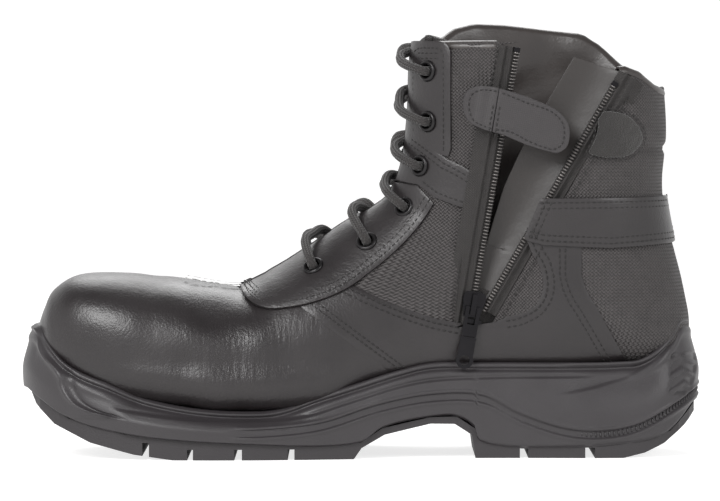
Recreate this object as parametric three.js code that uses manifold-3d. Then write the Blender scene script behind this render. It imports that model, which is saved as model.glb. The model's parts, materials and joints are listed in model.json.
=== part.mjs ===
// Side-zip safety boot, right foot, modelled as the separate pieces that it is made of.
// Units are millimetres. +Z is up, the toe points to -X and the zip side faces -Y.
import * as THREE from 'three';
import { mergeVertices } from 'three/addons/utils/BufferGeometryUtils.js';
import Module from 'manifold-3d';

const wasm = await Module();
wasm.setup();

// ---------------------------------------------------------------- driving dimensions
const GAP = 0.3; // clearance between pieces that touch on the real boot
const SHELL = 2.0; // outer panels of the upper
const OVERLAY = 1.5; // straps and facings sewn on top of the panels
const STIFFENER = 2.0; // toe cap, heel counter and plate
const BOARD = 1.8; // insole board
const LINING = 1.3;
const LINING_SLACK = 0.7; // the lining lies loosely over the padding and the board
const LACE = 3.8; // lace diameter
const LACE_ROOM = 1.5; // free height for the lace between the facing and the tongue
const TONGUE = 2.5;
const TONGUE_HALF = 30; // half width of the tongue
const THROAT_HALF = 12; // half of the gap between the two facings
const THROAT_START = -57; // where the throat opens at the front of the instep

const OUTSOLE_STEP = 2.4; // outsole plate above the lug grooves
const ARCH_SKIN = 3;
const SHANK_WIDTH = 14;
const SHANK_THICK = 2;

const EYELET_HOLE = 3.5; // inner radius
const EYELET_BARREL = 3.9; // outer radius of the barrel
const EYELET_FLANGE = 5; // outer radius of the flange
const EYELET_RISE = 0.9; // flange thickness
const EYELET_LIFT = 1.2; // flange above the facing, which curves away under it

const CHAIN_WIDTH = 2.8; // one row of zip teeth
const CHAIN_THICK = 2.6;
const CHAIN_PITCH = 3.6; // centre of one row to the other when closed
const CHAIN_START = 4;
const CHAIN_END = 122.5;
const STOP_LENGTH = 2.2;
const TAPE_WIDTH = 4.3;
const TAPE_THICK = 0.8;
const ZIP_OPENING = 20.4; // degrees between the two rows at rest
const SLIDER_WIDTH = 10.6;
const SLIDER_LENGTH = 11.8;
const SLIDER_REST = 6.4; // centre of the slider above the pivot of the zip
const PLATE = 0.9; // slider plates
const BRIDGE_TOP = 5.2; // top of the slider's bridge above the zip plane
const PULL_AXIS = 3.6; // pull hinge above the zip plane
const PULL_THICK = 1.2;
const PULL_LENGTH = 28;

const TAB_THICK = 3; // hook-and-loop closure tab
const TAB_LIFT = 5.7; // inner face of the tab above the zip plane
const TAB_SEAM = -6; // stitch line that the tab folds on

// ---------------------------------------------------------------- small helpers
const flat = (x, z) => new THREE.Vector2(x, z);

function asSolid(geometry) {
  const bare = geometry.clone();
  bare.deleteAttribute('normal');
  bare.deleteAttribute('uv');
  const merged = mergeVertices(bare, 1e-4);
  const vertProperties = new Float32Array(merged.attributes.position.array);
  const triVerts = new Uint32Array(merged.index.array);
  return new wasm.Manifold(new wasm.Mesh({ numProp: 3, vertProperties, triVerts }));
}

function asGeometry(solid) {
  const mesh = solid.getMesh();
  const geometry = new THREE.BufferGeometry();
  geometry.setAttribute('position', new THREE.BufferAttribute(mesh.vertProperties, 3));
  geometry.setIndex(new THREE.BufferAttribute(mesh.triVerts, 1));
  geometry.computeVertexNormals();
  return geometry;
}

// An outline is a list of corners [x, z]; a corner [x, z, cx, cz] is reached by a curve
// that is pulled towards (cx, cz).
function outline(corners) {
  const shape = new THREE.Shape();
  shape.moveTo(corners[0][0], corners[0][1]);
  for (const [x, z, cx, cz] of corners.slice(1)) {
    if (cx === undefined) shape.lineTo(x, z);
    else shape.quadraticCurveTo(cx, cz, x, z);
  }
  return shape;
}

// A solid with the outline seen from the side, between two values of Y.
function sidePrism(shape, yLow, yHigh, curveSegments = 5) {
  const settings = { depth: yHigh - yLow, bevelEnabled: false, curveSegments };
  const geometry = new THREE.ExtrudeGeometry(shape, settings);
  geometry.rotateX(Math.PI / 2);
  geometry.translate(0, yHigh, 0);
  return asSolid(geometry);
}

function box(xLow, xHigh, yLow, yHigh, zLow, zHigh) {
  const geometry = new THREE.BoxGeometry(xHigh - xLow, yHigh - yLow, zHigh - zLow);
  geometry.translate((xLow + xHigh) / 2, (yLow + yHigh) / 2, (zLow + zHigh) / 2);
  return geometry;
}

// ---------------------------------------------------------------- the last
// The upper is lofted over sections that fan from the toe to the collar. Each one runs
// from a point on the back or bottom line to a point on the dorsal line:
// [front x, front z, back x, back z, half width, widest share, top power, bottom power, shift in y]
const SECTIONS = [
  [-149.2, 60, -149.2, 51, 12, 0.5, 2.4, 2.4, -6],
  [-146.6, 67.5, -146.6, 45, 20.5, 0.45, 2.4, 2.8, -6],
  [-142, 76, -142, 41, 29, 0.42, 2.5, 3, -5.5],
  [-130, 82.6, -131, 35.5, 38, 0.38, 2.6, 3.2, -5],
  [-108, 83.2, -112, 30, 45.5, 0.36, 2.5, 3.2, -4],
  [-84, 81, -88, 26, 49.5, 0.36, 2.3, 3.2, -2],
  [-57, 77.2, -60, 23, 51.5, 0.36, 2.15, 3.2, 0],
  [-40, 85.5, -25, 24, 50.5, 0.36, 2.1, 3.2, 1],
  [-24, 96, 15, 28, 47, 0.42, 2.15, 3.1, 2],
  [-9, 106.5, 60, 32, 43, 0.46, 2.25, 3, 2],
  [3, 113, 105, 33, 41, 0.5, 2.35, 2.8, 1],
  [11, 119, 146, 41, 40, 0.5, 2.45, 2.6, 0],
  [15, 127, 150.6, 59, 40, 0.5, 2.5, 2.4, 0],
  [17.5, 134, 148, 77, 40, 0.5, 2.5, 2.4, 0],
  [19.7, 147, 142, 102, 40.5, 0.5, 2.5, 2.4, 0],
  [21, 162, 138.6, 124, 41, 0.5, 2.5, 2.4, 0],
  [21.5, 180, 140.4, 146, 41.5, 0.5, 2.5, 2.4, 0],
  [23.5, 195, 140, 168, 42, 0.5, 2.5, 2.4, 0],
  [26, 210, 139, 192, 42, 0.5, 2.5, 2.4, 0],
];
const LAST_T = SECTIONS.length - 1;

function catmullRom(a, b, c, d, s) {
  const m1 = (c - a) / 2;
  const m2 = (d - b) / 2;
  const cubic = (2 * b - 2 * c + m1 + m2) * s ** 3;
  return cubic + (-3 * b + 3 * c - 2 * m1 - m2) * s * s + m1 * s + b;
}

function section(t) {
  const i = Math.min(Math.max(Math.floor(t), 0), LAST_T - 1);
  const row = (k) => SECTIONS[Math.min(Math.max(k, 0), LAST_T)];
  const at = (k) => catmullRom(row(i - 1)[k], row(i)[k], row(i + 1)[k], row(i + 2)[k], t - i);
  const front = flat(at(0), at(1));
  const back = flat(at(2), at(3));
  const length = front.distanceTo(back);
  const along = front.clone().sub(back).divideScalar(length);
  const wide = at(5);
  const centre = back.clone().addScaledVector(along, wide * length);
  const powers = { top: at(6), bottom: at(7) };
  return { front, back, length, along, wide, centre, powers, half: at(4), shift: at(8) };
}

// angle 0 is the dorsal line, a quarter turn is the medial (zip) side.
function skinPoint(t, angle) {
  const s = section(t);
  const up = Math.cos(angle);
  const power = 2 / (up >= 0 ? s.powers.top : s.powers.bottom);
  const reach = (up >= 0 ? 1 - s.wide : s.wide) * s.length;
  const along = Math.sign(up) * Math.abs(up) ** power * reach;
  const side = Math.sin(angle);
  const y = s.shift - s.half * Math.sign(side) * Math.abs(side) ** power;
  return new THREE.Vector3(s.centre.x + s.along.x * along, y, s.centre.y + s.along.y * along);
}

function skinNormal(t, angle) {
  const step = 0.02;
  const dt = skinPoint(Math.min(t + step, LAST_T), angle).sub(skinPoint(Math.max(t - step, 0), angle));
  const da = skinPoint(t, angle + step).sub(skinPoint(t, angle - step));
  return da.cross(dt).normalize();
}

const skin = (t, angle, offset) => skinPoint(t, angle).addScaledVector(skinNormal(t, angle), offset);

// The place on the skin that is seen at (x, z) from the side; side is -1 medial, +1 lateral.
function locate(x, z, side = -1) {
  const lean = (t) => {
    const s = section(t);
    return (x - s.back.x) * s.along.y - (z - s.back.y) * s.along.x;
  };
  let low = 0;
  let high = LAST_T;
  for (let i = 0; i < 40; i += 1) {
    const middle = (low + high) / 2;
    if (lean(middle) > 0) low = middle;
    else high = middle;
  }
  const t = (low + high) / 2;
  const s = section(t);
  const along = flat(x, z).sub(s.centre).dot(s.along);
  const reach = (along >= 0 ? 1 - s.wide : s.wide) * s.length;
  const power = along >= 0 ? s.powers.top : s.powers.bottom;
  const up = Math.sign(along) * Math.min(Math.abs(along) / reach, 1) ** (power / 2);
  const angle = Math.acos(up);
  return { t, angle: side < 0 ? angle : 2 * Math.PI - angle };
}

// The closed body inside the skin moved out by offset.
function upperSolid(offset, steps = 22, around = 22) {
  const positions = [];
  const indices = [];
  for (let i = 0; i <= steps; i += 1) {
    for (let j = 0; j < around; j += 1) {
      positions.push(...skin((i / steps) * LAST_T, ((j + 0.5) / around) * 2 * Math.PI, offset).toArray());
    }
  }
  for (let i = 0; i < steps; i += 1) {
    for (let j = 0; j < around; j += 1) {
      const a = i * around + j;
      const b = i * around + ((j + 1) % around);
      indices.push(a, b, a + around, b, b + around, a + around);
    }
  }
  for (const [ring, turn] of [[0, 1], [steps, -1]]) {
    const middle = new THREE.Vector3();
    for (let j = 0; j < around; j += 1) {
      middle.add(new THREE.Vector3().fromArray(positions, 3 * (ring * around + j)));
    }
    const hub = positions.length / 3;
    positions.push(...middle.divideScalar(around).toArray());
    for (let j = 0; j < around; j += 1) {
      const a = ring * around + j;
      const b = ring * around + ((j + 1) % around);
      if (turn > 0) indices.push(hub, b, a);
      else indices.push(hub, a, b);
    }
  }
  const geometry = new THREE.BufferGeometry();
  geometry.setAttribute('position', new THREE.Float32BufferAttribute(positions, 3));
  geometry.setIndex(indices);
  return asSolid(geometry);
}

// ---------------------------------------------------------------- lines seen from the side
// The top edge of the sole, from the toe bumper round to the heel.
const FEATHER = [
  [-149, 56], [-135.5, 42.6], [-112, 33], [-81, 26], [-54, 24], [-34, 25], [-19, 29],
  [-1, 34.6], [16, 40], [31, 43.5], [57, 43.6], [119, 43.7], [130, 45], [146, 55.6],
];
const COLLAR_MEDIAL = [[20, 189], [26, 190.5], [71, 190.5], [112, 178], [121, 179], [128, 176.5], [136, 170.5], [146, 167]];
const COLLAR_LATERAL = [
  [18, 186], [26, 190], [35, 192], [41, 196.5], [51, 198.8], [66, 198.2], [84, 196],
  [104, 194], [112, 189], [122, 180], [129, 176], [136, 170.5], [146, 167],
];
const SHANK_LINE = [[8, 22.8], [92, 28.2]];

const FAR = 260; // beyond every edge of the boot
const HALF_SEAM = GAP / 2;

// Everything under a line, down to a level far below the sole.
function under(line) {
  const first = line[0];
  const last = line[line.length - 1];
  return outline([[-FAR, first[1]], ...line, [FAR, last[1]], [FAR, -FAR], [-FAR, -FAR]]);
}

const lowered = (line, drop) => line.map(([x, z]) => [x, z - drop]);

// ---------------------------------------------------------------- the zip's own frame
// x runs to the heel across the zip, y up along the front row, z out of the boot.
const ZIP_FOOT = { x: 49.3, z: 64 };
const ZIP_HEAD = { x: 70.4, z: 188 };
const ZIP_BACK = { x: 113, z: 176 };
const ZIP_SINK = 1; // the zip plane lies this far inside the skin
const spot = ({ x, z }) => {
  const { t, angle } = locate(x, z);
  return skin(t, angle, -ZIP_SINK);
};
const zipFoot = spot(ZIP_FOOT);
const zipUp = spot(ZIP_HEAD).sub(zipFoot).normalize();
const zipOut = spot(ZIP_BACK).sub(zipFoot).cross(zipUp).normalize();
const zipAcross = zipUp.clone().cross(zipOut).normalize();
const zipMatrix = new THREE.Matrix4().makeBasis(zipAcross, zipUp, zipOut).setPosition(zipFoot);
const openTurn = THREE.MathUtils.degToRad(ZIP_OPENING);

// A point of the zip frame, seen from the side; turn opens the rear row about its foot.
function zipView(x, y, turn = 0) {
  const dx = x - CHAIN_PITCH;
  const turned = turn === 0 ? [x, y] : [
    CHAIN_PITCH + dx * Math.cos(turn) + y * Math.sin(turn),
    y * Math.cos(turn) - dx * Math.sin(turn),
  ];
  const point = new THREE.Vector3(turned[0], turned[1], 0).applyMatrix4(zipMatrix);
  return [point.x, point.z];
}

const ZIP_EDGE = CHAIN_WIDTH / 2 + GAP + TAPE_WIDTH + GAP; // panel edge from the front row's centre
const ZIP_TOP = 150; // beyond the collar along the zip
const ZIP_FLOOR = -4.5;
const frontEdge = [zipView(-ZIP_EDGE, ZIP_FLOOR), zipView(-ZIP_EDGE, ZIP_TOP)];
const rearEdge = [
  zipView(CHAIN_PITCH + ZIP_EDGE, ZIP_FLOOR + 4, openTurn),
  zipView(CHAIN_PITCH + ZIP_EDGE, ZIP_TOP, openTurn),
];
const zipWedge = outline([...frontEdge, rearEdge[1], rearEdge[0]]);
const zipCut = sidePrism(zipWedge, -80, 0);

// ---------------------------------------------------------------- upper blanks
const skins = new Map();
function body(offset, steps, around) {
  const key = `${offset} ${steps} ${around}`;
  if (!skins.has(key)) skins.set(key, upperSolid(offset, steps, around));
  return skins.get(key);
}

const medialTrim = sidePrism(under(COLLAR_MEDIAL), -80, 0);
const lateralTrim = sidePrism(under(COLLAR_LATERAL), 0, 80);
const collarTrim = medialTrim.add(lateralTrim);
const shell = (outer, inner) => body(outer).subtract(body(inner)).intersect(collarTrim);

const throatSlot = (half) => sidePrism(
  outline([
    [THROAT_START, 60], [THROAT_START, FAR], [60, FAR], [52, 150], [46, 122], [20, 84, 42, 100], [-20, 60],
  ]),
  -half,
  half,
);
const lastingLine = sidePrism(under(lowered(FEATHER, 7)), -80, 80);
const skinBlank = shell(0, -SHELL).subtract(lastingLine).subtract(throatSlot(THROAT_HALF));
const overlayBlank = shell(GAP + OVERLAY, GAP).subtract(throatSlot(THROAT_HALF));
const MEDIAL = [-80, -HALF_SEAM];
const LATERAL = [HALF_SEAM, 80];
const BOTH = [-80, 80];
const cutFrom = (blank, corners, [low, high]) => blank.intersect(sidePrism(outline(corners), low, high));

// ---------------------------------------------------------------- outlines of the panels
const vampSeam = [[-46, 100], [-28, 71.3], [20, 35.7]];
const quarterTop = [[-6, 79.6], [34.1, 63.6, 14, 69.5], [46, 61.3]];
const quarterRear = [[80, 71.5], [84.5, 86, 88, 79], [82.4, 101, 84, 93]];
const heelPanelFront = [[96.8, 101], [96.8, 84], [103, 70, 98, 77], [122, 36]];

const shifted = (corners, dx, dz = 0) => corners.map((c) => c.map((v, i) => v + (i % 2 ? dz : dx)));

// The same line drawn the other way, with each curve's pull point moved to its new end.
function reversed(corners) {
  return corners.map(([x, z], i) => {
    const next = corners[i + 1] ?? [];
    return next.length > 2 ? [x, z, next[2], next[3]] : [x, z];
  }).reverse();
}

const vampOutline = [[-FAR, 0], [-FAR, 120], ...shifted(vampSeam, -GAP), [20, 0]];
const zipFootLine = [
  zipView(-ZIP_EDGE, ZIP_FLOOR - GAP), zipView(CHAIN_PITCH + ZIP_EDGE, ZIP_FLOOR - GAP),
];
const quarterMedial = [
  ...vampSeam, [20, 0], [122, 0], ...reversed(heelPanelFront),
  ...reversed(quarterRear), zipFootLine[1], zipFootLine[0], ...reversed(quarterTop), [-36, 102],
];
const quarterLateral = [
  ...vampSeam, [20, 0], [122, 0], ...reversed(heelPanelFront), [75.2, 101],
  [82, 84], [66, 66], ...reversed(quarterTop), [-36, 102],
];
const nylonFront = [
  [-36 + GAP, 102.4], ...shifted(quarterTop, 0.2, GAP), zipView(-ZIP_EDGE, -1.5), frontEdge[1], [0, FAR],
];
const nylonRear = [
  rearEdge[0], ...shifted(quarterRear, -GAP, GAP), [160, 101 + GAP], [160, FAR], rearEdge[1],
];
const nylonLateral = [
  [-36 + GAP, 102.4], ...shifted(quarterTop, 0.2, GAP), [66 - GAP, 66.6], [82 - GAP, 84.5], [75, 101 + GAP],
  [160, 101 + GAP], [160, FAR], [0, FAR],
];
const heelPanel = [...shifted(heelPanelFront, GAP), [170, 0], [170, 101]];

const facingLower = [
  [-70, 84], [-56.4, 77.4], [-40, 67.6, -53, 67.6], [2, 83.4, -14, 70], [33, 116, 24, 99], [26, 123.6], [0, 127], [-80, 127],
];
const facingMiddle = [
  [0, 128], [17.2, 125.6], [26, 124.3], [33.5, 118.6], [43.6, 114.9], [51.4, 113.4], [53, 129.3],
  [39.2, 136.2], [24, 147.6], [0, 150],
];
const facingUpper = [
  [0, 151], [23.6, 148.2], [39.5, 137.4], [40.6, 141], [40.6, 184], [34, 190.2, 40.6, 190.2], [0, 190.2],
];
const strapOutline = [[81.8, 118.6], [74.2, 100.4], [82.5, 97.4], [113, 95.8], [170, 99], [170, 119]];
const patchOutline = [[109.5, 158.4], [122.5, 154.5], [127, 144.5], [118.5, 137.3], [102.6, 139.6], [107, 154.6]];

// ---------------------------------------------------------------- eyelets
const EYELETS = [[-22, 86], [2.3, 97.5], [19.9, 113.5], [27.3, 133], [30.8, 153.4], [30.8, 176.5]];
const eyeletSeats = [-1, 1].map((side) => EYELETS.map(([x, z]) => {
  const { t, angle } = locate(x, z, side);
  const centre = skinPoint(t, angle);
  const turn = new THREE.Quaternion().setFromUnitVectors(new THREE.Vector3(0, 0, 1), skinNormal(t, angle));
  return { t, angle, side, matrix: new THREE.Matrix4().compose(centre, turn, new THREE.Vector3(1, 1, 1)) };
}));

function drillEyelets(solid) {
  let result = solid;
  for (const seat of eyeletSeats.flat()) {
    const drill = new THREE.CylinderGeometry(EYELET_BARREL + GAP, EYELET_BARREL + GAP, 16, 12);
    drill.rotateX(Math.PI / 2);
    drill.applyMatrix4(seat.matrix);
    result = result.subtract(asSolid(drill));
  }
  return result;
}

function eyeletGeometry(seat) {
  const seatTop = GAP + OVERLAY + EYELET_LIFT;
  const profile = [
    [EYELET_HOLE, -SHELL], [EYELET_BARREL, -SHELL], [EYELET_BARREL, seatTop],
    [EYELET_FLANGE, seatTop], [EYELET_FLANGE - 0.4, seatTop + EYELET_RISE],
    [EYELET_HOLE, seatTop + EYELET_RISE], [EYELET_HOLE, -SHELL],
  ].map(([r, z]) => flat(r, z));
  const geometry = new THREE.LatheGeometry(profile, 12);
  geometry.rotateX(Math.PI / 2);
  geometry.applyMatrix4(seat.matrix);
  return geometry;
}

// ---------------------------------------------------------------- the sole
// Outlines seen from above, as half outlines joined at toe and heel.
const SOLE_PLAN = [
  [-155, -6], [-150, -27], [-131, -44], [-102, -53.5], [-62, -56], [-30, -53], [0, -47.5],
  [40, -40.8], [80, -40.4], [114, -41.3], [140, -34], [152, -18], [155, 0],
  [152, 18], [140, 34], [114, 42], [80, 43], [40, 45], [0, 49.5], [-40, 55.2], [-72, 55.2],
  [-102, 50], [-130, 37], [-149, 16],
].map(([x, y]) => flat(x, y));

function planPrism(inset, zLow, zHigh) {
  const curve = new THREE.SplineCurve([...SOLE_PLAN, SOLE_PLAN[0]]);
  const points = curve.getPoints(44).slice(0, -1);
  const middle = flat(0, 0);
  const moved = points.map((p, i) => {
    const next = points[(i + 1) % points.length];
    const last = points[(i + points.length - 1) % points.length];
    const inward = flat(-(next.y - last.y), next.x - last.x).normalize();
    if (inward.dot(middle.clone().sub(p)) < 0) inward.negate();
    return p.clone().addScaledVector(inward, inset);
  });
  const settings = { depth: zHigh - zLow, bevelEnabled: false };
  const geometry = new THREE.ExtrudeGeometry(new THREE.Shape(moved), settings);
  geometry.translate(0, 0, zLow);
  return asSolid(geometry);
}

// The underside of the midsole, from the toe back to the heel.
const LUG_TOP = [
  [-153, 30], [-134, 18], [-108, 11.5], [-54, 7.2], [-1, 7.4], [9, 14], [31, 18.8], [43, 19], [52, 13], [56, 7.2],
  [126, 7.2], [141, 12], [153, 24],
];

function midsole() {
  const top = [
    [-158, 38], [-155, 53], [-152.5, 60], [-149.6, 60], ...FEATHER.slice(1), [150.6, 62.6],
    [153.6, 62.6], [155.6, 56], [155.6, 24],
  ];
  const side = outline([...top, ...reversed(LUG_TOP).map(([x, z]) => [x, z + GAP])]);
  const block = sidePrism(side, -80, 80).intersect(planPrism(0, -10, 90));
  return block.subtract(body(GAP)).subtract(shankGroove());
}

function shankOutline(grow, rise) {
  const [[x0, z0], [x1, z1]] = SHANK_LINE;
  return outline([
    [x0 - grow, z0 - grow], [x1 + grow, z1 - grow], [x1 + grow, z1 + rise], [x0 - grow, z0 + rise],
  ]);
}
const shankGroove = () => sidePrism(shankOutline(GAP, 20), -SHANK_WIDTH / 2 - GAP, SHANK_WIDTH / 2 + GAP);
const shank = () => sidePrism(shankOutline(0, SHANK_THICK), -SHANK_WIDTH / 2, SHANK_WIDTH / 2);

const LUG_GAPS = [[-100, -97], [-79.6, -77], [-58.2, -54.8], [-34, -31], [71.8, 75.6], [101.6, 106]];

function outsole() {
  const tread = [
    [-150, 24], [-141, 15.5], [-124, 7.5], [-104, 2.4], [-86, 0], [-4, 0], [-0.5, 5], [10, 14 - ARCH_SKIN],
    [31, 18.8 - ARCH_SKIN], [42, 18.6 - ARCH_SKIN], [50, 10.5], [51.5, 0], [119, 0], [129, 2.3],
    [138, 6.5], [148, 14.5], [153, 20],
  ];
  const side = outline([...tread, ...reversed(LUG_TOP)]);
  let solid = sidePrism(side, -80, 80).intersect(planPrism(1.2, -10, 90));
  for (const [low, high] of LUG_GAPS) {
    const lift = low < -90 ? 3 : 0;
    const cut = box(low, high, -80, 80, -20, 7.2 - OUTSOLE_STEP + lift);
    solid = solid.subtract(asSolid(cut));
  }
  return solid;
}

// ---------------------------------------------------------------- inner pieces
// The line that parts the board and plate below from the cap and counter above.
const INSOLE_LINE = [
  [-149, 56], [-138, 50], [-124, 46], [-100, 41], [-60, 36], [-20, 37], [20, 41], [60, 44], [110, 46], [140, 50], [150, 57],
];
const insoleZone = (drop) => sidePrism(under(lowered(INSOLE_LINE, drop)), -80, 80);

const PLATE_INNER = SHELL + GAP + STIFFENER; // depth of the plate's and the cap's inner face
const BOARD_INNER = PLATE_INNER + GAP + BOARD;
const LINING_INNER = BOARD_INNER + LINING_SLACK + LINING;

const puncturePlate = () => shell(-SHELL - GAP, -PLATE_INNER).intersect(insoleZone(3));
const insoleBoard = () => cutFrom(
  shell(-PLATE_INNER - GAP, -BOARD_INNER).intersect(insoleZone(3)),
  [[-139, 0], [141, 0], [141, 90], [-139, 90]],
  BOTH,
);
const footbed = () => body(-LINING_INNER - GAP).intersect(sidePrism(under(lowered(INSOLE_LINE, -2)), -80, 80));

const toeCap = () => cutFrom(
  shell(-SHELL - GAP, -PLATE_INNER),
  [[-FAR, 0], [-100, 0], [-94, 60, -88, 30], [-97, 120], [-FAR, 120]],
  BOTH,
).subtract(insoleZone(3 - GAP));

const heelCounter = () => cutFrom(
  shell(-SHELL - GAP, -PLATE_INNER),
  [[88, 0], [96, 62, 88, 40], [128, 94, 106, 92], [170, 94], [170, 0]],
  BOTH,
).subtract(insoleZone(3 - GAP));

const TONGUE_OUTER = -SHELL - LACE - LACE_ROOM;
function tongueBlank(grow) {
  const sheet = body(TONGUE_OUTER + grow).subtract(body(TONGUE_OUTER - TONGUE - grow));
  const side = outline([
    [THROAT_START - 8 - grow, 62 - grow], [THROAT_START - 8 - grow, 90], [10, 194], [33 + grow, 194],
    [33 + grow, 150], [24 + grow, 120 - grow], [-6 + grow, 88 - grow],
  ]);
  return sheet.intersect(sidePrism(side, -TONGUE_HALF - grow, TONGUE_HALF + grow));
}
const LINING_OUTER = -BOARD_INNER - LINING_SLACK;
const lining = () => body(LINING_OUTER).subtract(body(LINING_OUTER - LINING)).intersect(collarTrim)
  .subtract(tongueBlank(GAP)).subtract(zipCut);

const PADDING = [[48, 132], [170, 132], [170, FAR], [48, FAR]];
const collarPadding = () => cutFrom(shell(-SHELL - GAP, -BOARD_INNER), PADDING, BOTH)
  .subtract(sidePrism(outline([[0, 100], rearEdge[0], rearEdge[1], [0, FAR]]), -80, 0));

// ---------------------------------------------------------------- zip pieces
const inZip = (geometry) => geometry.applyMatrix4(zipMatrix);

function rearRow(geometry) {
  geometry.translate(-CHAIN_PITCH, 0, 0);
  geometry.rotateZ(-openTurn);
  geometry.translate(CHAIN_PITCH, 0, 0);
  return inZip(geometry);
}

const half = CHAIN_WIDTH / 2;
const chain = (x) => box(x - half, x + half, CHAIN_START, CHAIN_END, -CHAIN_THICK / 2, CHAIN_THICK / 2);
const stop = (x) => box(x - half, x + half, CHAIN_END + GAP, CHAIN_END + GAP + STOP_LENGTH, -1.4, 1.4);
const tape = (x0, x1, y0) => box(x0, x1, y0, CHAIN_END + 1, -TAPE_THICK / 2, TAPE_THICK / 2);
const tapeNear = half + GAP;

const zipGusset = () => {
  const depth = 6.2;
  const fold = [[96.6, 182.8], [85.5, 164.5], [73, 142], [64.5, 123.7], [56, 96]];
  const foot = [zipView(0, 1), zipView(CHAIN_PITCH + ZIP_EDGE - 1, 4, openTurn)];
  const top = zipView(CHAIN_PITCH + ZIP_EDGE - 0.4, 127, openTurn);
  const prism = sidePrism(outline([foot[1], top, ...fold, foot[0]]), -80, 0);
  const plate = box(-30, 110, -20, 150, -depth, -depth + 1.3);
  return prism.intersect(asSolid(inZip(plate))).intersect(zipCutInner());
};
const zipCutInner = () => sidePrism(outline([
  zipView(-ZIP_EDGE + GAP, ZIP_FLOOR + GAP), zipView(-ZIP_EDGE + GAP, ZIP_TOP),
  zipView(CHAIN_PITCH + ZIP_EDGE - GAP, ZIP_TOP, openTurn), zipView(CHAIN_PITCH + ZIP_EDGE - GAP, ZIP_FLOOR + 4, openTurn),
]), -80, 0);

function slider() {
  const y = SLIDER_REST;
  const plateGap = CHAIN_THICK / 2 + 0.4;
  const plateShape = new THREE.Shape();
  plateShape.moveTo(-SLIDER_WIDTH / 2 + 1.6, -SLIDER_LENGTH / 2);
  plateShape.lineTo(SLIDER_WIDTH / 2 - 1.6, -SLIDER_LENGTH / 2);
  plateShape.lineTo(SLIDER_WIDTH / 2, SLIDER_LENGTH / 2 - 3);
  plateShape.quadraticCurveTo(SLIDER_WIDTH / 2, SLIDER_LENGTH / 2, SLIDER_WIDTH / 2 - 3, SLIDER_LENGTH / 2);
  plateShape.lineTo(-SLIDER_WIDTH / 2 + 3, SLIDER_LENGTH / 2);
  plateShape.quadraticCurveTo(-SLIDER_WIDTH / 2, SLIDER_LENGTH / 2, -SLIDER_WIDTH / 2, SLIDER_LENGTH / 2 - 3);
  const outer = new THREE.ExtrudeGeometry(plateShape, { depth: PLATE, bevelEnabled: false, curveSegments: 3 });
  const inner = outer.clone();
  outer.translate(0, y, plateGap);
  inner.translate(0, y, -plateGap - PLATE);
  const neckLow = half + 0.25;
  const neck = box(neckLow, neckLow + 0.8, y + 3, y + 5.6, -plateGap - PLATE / 2, plateGap + PLATE / 2);
  const postLow = box(-1.2, 1.2, y - 4.6, y - 3.4, plateGap + PLATE / 2, BRIDGE_TOP);
  const postHigh = box(-1.2, 1.2, y + 3.6, y + 4.8, plateGap + PLATE / 2, BRIDGE_TOP);
  const bridge = box(-1.2, 1.2, y - 4.6, y + 4.8, BRIDGE_TOP - 0.7, BRIDGE_TOP);
  const solids = [outer, inner, neck, postLow, postHigh, bridge].map(asSolid);
  const solid = solids.reduce((sum, next) => sum.add(next));
  return inZip(asGeometry(solid));
}

const PULL_Y = SLIDER_REST - 1.6;
function pullLink() {
  const shape = outline([[-3.4, 0.6], [-3.4, -13], [3.4, -13], [3.4, 0.6]]);
  const frame = asSolid(new THREE.ExtrudeGeometry(shape, { depth: PULL_THICK, bevelEnabled: false })
    .translate(0, 0, -PULL_THICK / 2));
  const opening = asSolid(box(-1.7, 1.7, -7.6, 2, -2, 2));
  const pin = new THREE.CylinderGeometry(0.6, 0.6, 5, 10).rotateZ(Math.PI / 2);
  const solid = frame.subtract(opening).add(asSolid(pin));
  return inZip(asGeometry(solid).translate(0, PULL_Y, PULL_AXIS));
}

function pullTab() {
  const ring = 4;
  const bottom = -PULL_LENGTH + ring;
  const shape = new THREE.Shape();
  shape.moveTo(-3.6, -13 - GAP);
  shape.lineTo(-3.6, bottom + 1.8);
  shape.absarc(0, bottom, ring, Math.PI * 0.85, Math.PI * 2.15, false);
  shape.lineTo(3.6, -13 - GAP);
  const hole = new THREE.Path();
  hole.absarc(0, bottom, 2.4, 0, Math.PI * 2, true);
  shape.holes.push(hole);
  const settings = { depth: PULL_THICK, bevelEnabled: false, curveSegments: 8 };
  const geometry = new THREE.ExtrudeGeometry(shape, settings);
  return inZip(geometry.translate(0, PULL_Y, PULL_AXIS - PULL_THICK / 2));
}

// ---------------------------------------------------------------- closure tab
// The tab in the zip frame: its two ends across, its two sides along, and how they slope.
const TAB = { front: -17.5, rear: 28.5, low: 78, high: 97, slope: -0.12 };
function tabShape(x0, x1, roundFront, roundRear) {
  const low = (x) => TAB.low + TAB.slope * x + 2;
  const high = (x) => TAB.high + TAB.slope * x;
  const r = 5;
  const shape = new THREE.Shape();
  shape.moveTo(x0 + (roundFront ? r : 0), low(x0));
  shape.lineTo(x1 - (roundRear ? r : 0), low(x1));
  if (roundRear) {
    shape.quadraticCurveTo(x1, low(x1), x1, low(x1) + r);
    shape.lineTo(x1, high(x1) - r);
    shape.quadraticCurveTo(x1, high(x1), x1 - r, high(x1));
  } else {
    shape.lineTo(x1, high(x1));
  }
  shape.lineTo(x0 + (roundFront ? r : 0), high(x0));
  if (roundFront) {
    shape.quadraticCurveTo(x0, high(x0), x0, high(x0) - r);
    shape.lineTo(x0, low(x0) + r);
    shape.quadraticCurveTo(x0, low(x0), x0 + r, low(x0));
  }
  return shape;
}

function closureBase() {
  const depth = TAB_LIFT + TAB_THICK + 4;
  const geometry = new THREE.ExtrudeGeometry(
    tabShape(TAB.front, TAB_SEAM, true, false),
    { depth, bevelEnabled: false, curveSegments: 4 },
  );
  geometry.translate(0, 0, TAB_LIFT + TAB_THICK - depth);
  return asSolid(inZip(geometry)).subtract(body(GAP));
}

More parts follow.
